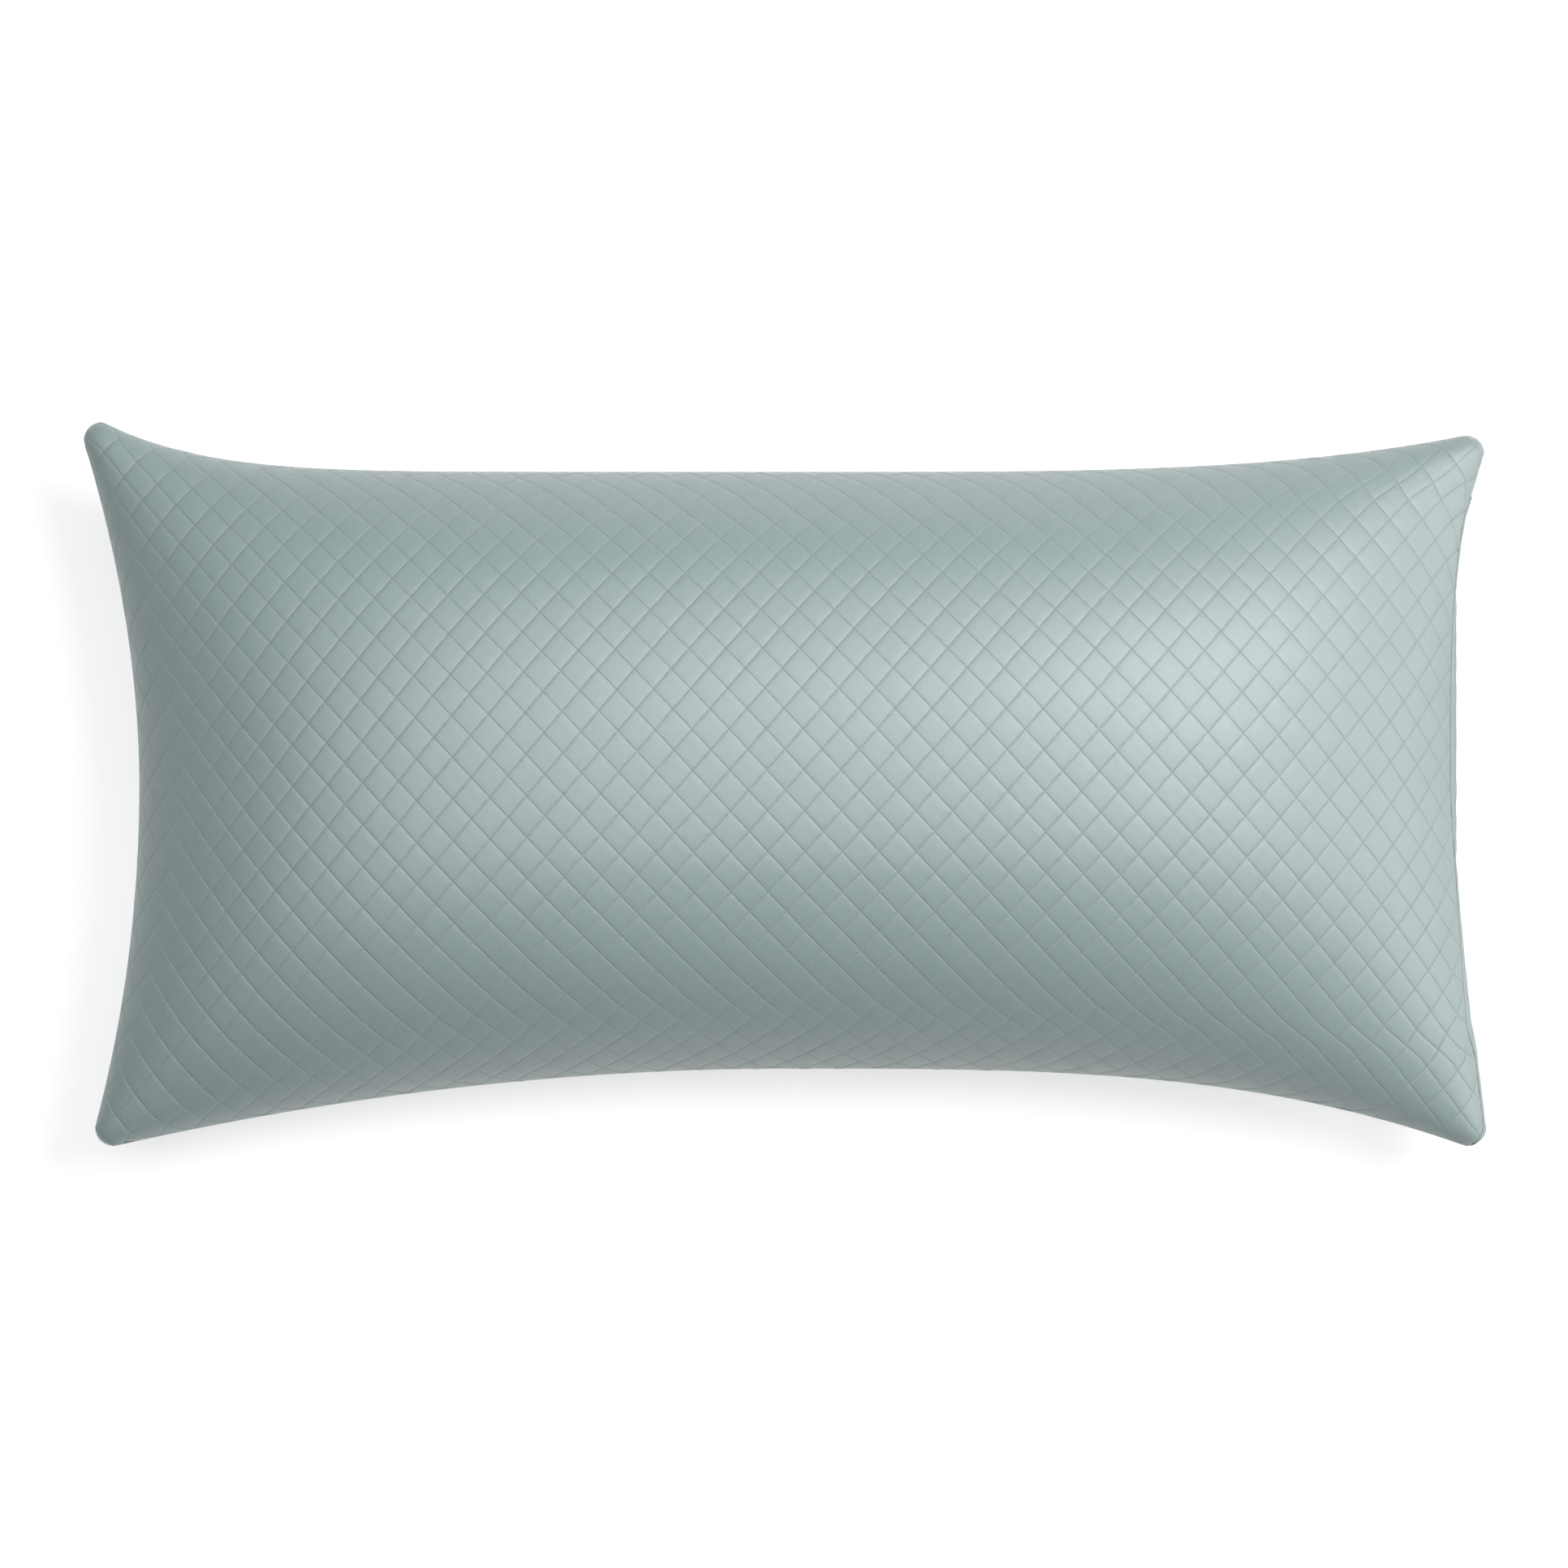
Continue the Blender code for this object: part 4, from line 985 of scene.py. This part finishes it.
def build_metal_wear():
    tree, given, out = new_group("handled metal", [
        ("Place", "Vector", None), ("Scratch size", "Float", 0.001)], ["Scratches", "Rubbed"])
    scale = calc(tree, "DIVIDE", 1.0, given["Scratch size"])
    lines = put(tree, "ShaderNodeTexNoise", {"Vector": given["Place"], "Scale": scale, "Detail": 6.0,
                                             "Distortion": 2.0}).outputs["Fac"]
    rub = put(tree, "ShaderNodeTexNoise", {
        "Vector": given["Place"], "Scale": calc(tree, "MULTIPLY", scale, 0.25),
        "Detail": 3.0}).outputs["Fac"]
    rub = put(tree, "ShaderNodeMapRange", {"Value": rub, "From Min": 0.48, "From Max": 0.66}).outputs[0]
    give(tree, out, {"Scratches": lines, "Rubbed": rub})
    return tree


groups = {"weld": build_weld_marks(), "weave": build_weave(), "fibres": build_fibres(),
          "wear": build_metal_wear()}
print("effects:", [tree.name for tree in groups.values()])


# %% [markdown]
# ## Materials
# The satin is a fine microfibre in a pale grey green. It owes its look to three things: a soft
# sheen that lifts the edges of every puff, a faint irregularity of the threads, and the pressed
# marks, which are a little smoother than the cloth and carry painted shade: their colour is darkened
# where their dents fall into shade. Everything else in the pillow is white or dyed to match, so
# each material starts from the same builder and changes only what differs.

# %% Material builder
def srgb(red, green, blue):
    """A colour as it is seen, turned into the linear light that shaders use."""
    return tuple(c / 12.92 if c <= 0.04045 else ((c + 0.055) / 1.055) ** 2.4
                 for c in (red / 255, green / 255, blue / 255)) + (1.0,)


def new_material(name, roughness, **shader_values):
    made = bpy.data.materials.new(name)
    made.use_nodes = True
    tree = made.node_tree
    shader = tree.nodes["Principled BSDF"]
    shader.inputs["Roughness"].default_value = roughness
    for key, value in shader_values.items():
        shader.inputs[key.replace("_", " ")].default_value = value
    return made, tree, shader


def use_group(tree, which, inputs):
    return put(tree, "ShaderNodeGroup", inputs, node_tree=groups[which]).outputs


def tinted(tree, fac, dark, light):
    return put(tree, "ShaderNodeMix", {0: fac, 6: dark, 7: light}, data_type="RGBA").outputs[2]


def cloth_place(tree):
    return put(tree, "ShaderNodeUVMap", uv_map="cloth").outputs[0]


def object_place(tree):
    return put(tree, "ShaderNodeTexCoord").outputs["Object"]


def bump(tree, shader, height, distance):
    node = put(tree, "ShaderNodeBump", {"Height": height, "Distance": distance, "Strength": 1.0})
    tree.links.new(node.outputs[0], shader.inputs["Normal"])


SHEEN = {"Sheen_Weight": 0.35, "Sheen_Roughness": 0.32, "Specular_IOR_Level": 1.0}
SATIN_DARK, SATIN_LIGHT = srgb(123, 141, 142), srgb(138, 154, 155)


def satin(name, quilted):
    made, tree, shader = new_material(name, 0.46, **SHEEN)
    shader.inputs["Sheen Tint"].default_value = srgb(232, 240, 240)
    place = cloth_place(tree)
    weave = use_group(tree, "weave", {"Cloth place": place, "Thread spacing": 0.00028,
                                      "Slub length": 0.03, "Over and under": 0.5})
    colour = tinted(tree, weave["Tone"], SATIN_DARK, SATIN_LIGHT)
    height = calc(tree, "MULTIPLY", weave["Height"], 0.04)
    rough = calc(tree, "MULTIPLY_ADD", weave["Tone"], -0.12, 0.52)
    if quilted:
        weld = use_group(tree, "weld", {"Cloth place": place})
        # Painted shade: the colour darkens on the weld dashes, where their pressed dents fall into shade;
        # the dent and the smoother finish below are real.
        colour = tinted(tree, calc(tree, "MULTIPLY", weld["Marks"], 0.35), colour, srgb(100, 120, 122))
        height = calc(tree, "SUBTRACT", height, calc(tree, "MULTIPLY", weld["Marks"], 0.5))
        rough = calc(tree, "SUBTRACT", rough, calc(tree, "MULTIPLY", weld["Marks"], 0.16))
    tree.links.new(colour, shader.inputs["Base Color"])
    tree.links.new(rough, shader.inputs["Roughness"])
    bump(tree, shader, height, 0.00045)
    return made


def woven(name, dark, light, spacing, roughness, relief, **values):
    made, tree, shader = new_material(name, roughness, **values)
    weave = use_group(tree, "weave", {"Cloth place": cloth_place(tree), "Thread spacing": spacing,
                                      "Slub length": 0.012, "Over and under": 1.0})
    tree.links.new(tinted(tree, weave["Tone"], dark, light), shader.inputs["Base Color"])
    bump(tree, shader, weave["Height"], relief)
    return made


def fibrous(name, dark, light, clump, relief):
    made, tree, shader = new_material(name, 0.95, Sheen_Weight=0.3, Sheen_Roughness=0.5)
    fibres = use_group(tree, "fibres", {"Place": object_place(tree), "Clump size": clump})
    tree.links.new(tinted(tree, fibres["Tone"], dark, light), shader.inputs["Base Color"])
    bump(tree, shader, fibres["Height"], relief)
    return made


def metal(name, colour, rubbed, roughness, metallic):
    made, tree, shader = new_material(name, roughness, Metallic=metallic, Coat_Weight=0.25,
                                      Coat_Roughness=0.2)
    wear = use_group(tree, "wear", {"Place": object_place(tree), "Scratch size": 0.0009})
    tree.links.new(tinted(tree, calc(tree, "MULTIPLY", wear["Rubbed"], 0.35), colour, rubbed),
                   shader.inputs["Base Color"])
    tree.links.new(calc(tree, "MULTIPLY_ADD", wear["Scratches"], 0.22, roughness - 0.1),
                   shader.inputs["Roughness"])
    bump(tree, shader, wear["Scratches"], 0.00003)
    return made


THREAD_DARK, THREAD_LIGHT = srgb(138, 153, 152), srgb(160, 175, 173)
finishes = {
    "quilted satin": satin("quilted_satin", True),
    "plain satin": satin("plain_satin", False),
    "wadding": fibrous("lofty_wadding", srgb(214, 214, 210), srgb(240, 240, 236), 0.010, 0.0006),
    "fibre": fibrous("hollow_fibre", srgb(222, 222, 218), srgb(247, 247, 244), 0.022, 0.0020),
    "backing": woven("spunbond_backing", srgb(212, 216, 215), srgb(232, 235, 234), 0.0011, 0.85, 0.0001),
    "liner": woven("liner_cotton", srgb(226, 226, 221), srgb(243, 243, 239), 0.0004, 0.8, 0.0001,
                   Sheen_Weight=0.2),
    "thread": woven("polyester_thread", THREAD_DARK, THREAD_LIGHT, 0.0003, 0.5, 0.00008, Sheen_Weight=0.25),
    "liner thread": woven("white_thread", srgb(224, 224, 220), srgb(242, 242, 239), 0.0003, 0.55, 0.00008),
    "overlocked": woven("overlocked_edge", srgb(150, 163, 162), srgb(196, 205, 203), 0.0012, 0.8, 0.0003,
                        Sheen_Weight=0.2),
    "tape": woven("zip_tape_weave", THREAD_DARK, THREAD_LIGHT, 0.0006, 0.7, 0.00015, Sheen_Weight=0.2),
    "coil": metal("nylon_coil", srgb(146, 160, 159), srgb(172, 184, 182), 0.42, 0.0),
    "lacquer": metal("lacquered_zinc", srgb(150, 162, 161), srgb(188, 192, 190), 0.36, 0.55),
    "nickel": metal("nickel_plate", srgb(196, 197, 195), srgb(222, 222, 220), 0.3, 1.0),
    "label": woven("label_satin", srgb(232, 232, 228), srgb(246, 246, 243), 0.0003, 0.42, 0.00005,
                   Sheen_Weight=0.25),
}
print("finishes:", ", ".join(finishes))

# %% [markdown]
# ## Dress and hang everything on the frame
# Each new piece takes its finish, hides the plain solid it stands for and hangs on the body it
# moves with. The slider, the pull and the stops have the right shape already, but their edges are
# sharp, and a cast or pressed piece has none. A frame solid is never changed, so each gets a copy:
# its faces are joined along their edges first, because a bevel does nothing on an edge that is only
# the end of a loose face, and then the edges are rounded.

# %% Which piece stands for what
dressing = {
    "front_face": ("quilted satin", "satin_microfibre", "front_face_fabric"),
    "back_face": ("quilted satin", "satin_microfibre", "back_face_fabric"),
    "front_wadding": ("wadding", "wadding", "front_wadding"),
    "back_wadding": ("wadding", "wadding", "back_wadding"),
    "front_backing": ("backing", "backing", "front_backing"),
    "back_backing": ("backing", "backing", "back_backing"),
    "seam_thread": ("thread", "thread", "seam_thread"),
    "allowance": ("overlocked", "overlocked_edge", "seam_allowance"),
    "liner_front": ("liner", "liner_cloth", "liner_front"),
    "liner_back": ("liner", "liner_cloth", "liner_back"),
    "liner_thread": ("liner thread", "liner_thread", "liner_seam_thread"),
    "fill": ("fibre", "polyester_fibre", "fibre_fill"),
    "facing_front": ("plain satin", "satin_microfibre", "zip_facing_front"),
    "facing_back": ("plain satin", "satin_microfibre", "zip_facing_back"),
    "tape_front": ("tape", "zip_tape", "zip_tape_front"),
    "tape_back": ("tape", "zip_tape", "zip_tape_back"),
    "teeth_front": ("coil", "zip_coil", "zip_teeth_front"),
    "teeth_back": ("coil", "zip_coil", "zip_teeth_back"),
    "label": ("label", "label_satin", "care_label"),
}
for key, (finish, slot, node) in dressing.items():
    piece = pieces[key]
    piece.data.materials.append(finishes[finish])
    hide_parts(node)
    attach(piece, "pillow")

ROUNDING, COPLANAR = 0.00012, math.radians(1)
metal_pieces = {
    "zip_slider": ("lacquer", "lacquered_zinc", "slider"),
    "zip_pull": ("lacquer", "lacquered_zinc", "pull"),
    "zip_bottom_stop": ("nickel", "zip_stops", "pillow"),
    "zip_top_stop_front": ("nickel", "zip_stops", "pillow"),
    "zip_top_stop_back": ("nickel", "zip_stops", "pillow"),
}


def rounded_copy(node):
    """A new piece with the shape of a frame solid, its faces joined and its edges rounded."""
    bm = bmesh.new()
    bm.from_mesh(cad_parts[node].data)
    bmesh.ops.remove_doubles(bm, verts=bm.verts, dist=1e-6)
    bmesh.ops.dissolve_limit(bm, angle_limit=COPLANAR, verts=bm.verts, edges=bm.edges)
    mesh = bpy.data.meshes.new(f"{node}_rounded")
    bm.to_mesh(mesh)
    bm.free()
    made = bpy.data.objects.new(f"{node}_rounded", mesh)
    bpy.context.scene.collection.objects.link(made)
    rounding = made.modifiers.new("rounded edges", "BEVEL")
    rounding.width, rounding.segments, rounding.limit_method = ROUNDING, 2, "ANGLE"
    return made


for node, (finish, slot, body) in metal_pieces.items():
    piece = rounded_copy(node)
    piece.data.materials.append(finishes[finish])
    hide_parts(node)
    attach(piece, body)
    shown = piece.evaluated_get(bpy.context.evaluated_depsgraph_get()).data
    print(f"{node}: {len(piece.data.polygons)} flat faces, {len(shown.polygons)} once rounded")
print("pieces dressed:", len(dressing) + len(metal_pieces))

# %% [markdown]
# ## Floor, light and camera
# The pillow lies on a plain pale floor and is seen from straight above through a long lens,
# which keeps its outline nearly free of perspective. The floor gives off some light of its own,
# so that it stays almost white without a stronger lamp. A single overhead light would wash the
# quilting out. A broad soft key stands high to the right instead, so the crown runs from bright to dark
# and every weld line that crosses the light shows its two banks. A low light rakes the zip's
# side, and two more lift the far side and the shadows.

# %% Stage
FLOOR_SIZE, FLOOR_SHADE, FLOOR_GLOW = 24.0, (0.48, 0.48, 0.48, 1.0), 0.62
FLOOR_DROP = 0.0004
ROOM_STRENGTH, BACKDROP_STRENGTH = 0.05, 0.97
floor_mesh = bpy.data.meshes.new("pale_floor")
half = FLOOR_SIZE / 2
floor_mesh.from_pydata([(-half, -half, 0), (half, -half, 0), (half, half, 0), (-half, half, 0)], [],
                       [(0, 1, 2, 3)])
floor = bpy.data.objects.new("pale_floor", floor_mesh)
floor.location.z = -FLOOR_DROP
bpy.context.scene.collection.objects.link(floor)
floor_finish, _, floor_shader = new_material("pale_floor", 0.9)
floor_shader.inputs["Base Color"].default_value = FLOOR_SHADE
floor_shader.inputs["Emission Color"].default_value = (1, 1, 1, 1)
floor_shader.inputs["Emission Strength"].default_value = FLOOR_GLOW
floor_mesh.materials.append(floor_finish)

world = bpy.data.worlds.new("pale_room")
bpy.context.scene.world = world
world.use_nodes = True
room = world.node_tree
dim = room.nodes["Background"]
dim.inputs["Color"].default_value = (0.92, 0.94, 0.94, 1)
dim.inputs["Strength"].default_value = ROOM_STRENGTH
pale = put(room, "ShaderNodeBackground", {"Color": (1, 1, 1, 1), "Strength": BACKDROP_STRENGTH})
seen = put(room, "ShaderNodeLightPath").outputs["Is Camera Ray"]
backdrop = put(room, "ShaderNodeMixShader", {0: seen, 1: dim.outputs[0], 2: pale.outputs[0]})
room.links.new(backdrop.outputs[0], room.nodes["World Output"].inputs["Surface"])
bpy.context.scene.view_settings.view_transform = "Standard"


LIGHT_DISTANCE, LIGHT_SIZE = 3.0, 1.6
STUDIO = {  # direction round the pillow and height in degrees, watts, colour
    "broad_key": (30, 58, 68, (1.05, 0.995, 0.975)),
    "low_side": (0, 20, 29, (1.03, 1.0, 0.985)),
    "far_side": (90, 58, 19, (1.0, 1.0, 1.0)),
    "high_fill": (180, 74, 32, (0.97, 1.0, 1.0)),
}


def add_light(name, turn, height, watts, colour):
    """A round soft light that faces the middle of the floor."""
    turn, height = math.radians(turn), math.radians(height)
    place = Vector((math.cos(height) * math.cos(turn), math.cos(height) * math.sin(turn),
                    math.sin(height))) * LIGHT_DISTANCE
    light = bpy.data.lights.new(name, "AREA")
    light.shape, light.size, light.energy, light.color = "DISK", LIGHT_SIZE, watts, colour
    lamp = bpy.data.objects.new(name, light)
    lamp.location = place
    lamp.rotation_euler = (-place).to_track_quat("-Z", "Y").to_euler()
    bpy.context.scene.collection.objects.link(lamp)


for name, settings in STUDIO.items():
    add_light(name, *settings)

# %% Camera
VIEW_WIDTH, LENS, SENSOR = 0.985, 135.0, 36.0
camera = bpy.data.cameras.new("overhead")
camera.lens, camera.sensor_width = LENS, SENSOR
overhead = bpy.data.objects.new("overhead", camera)
overhead.location = (0.0, 0.0, SEAM_HEIGHT + VIEW_WIDTH * LENS / SENSOR)
overhead.rotation_euler = (0, 0, 0)
bpy.context.scene.collection.objects.link(overhead)
bpy.context.scene.camera = overhead
print(f"camera {overhead.location.z:.2f} m above the floor")
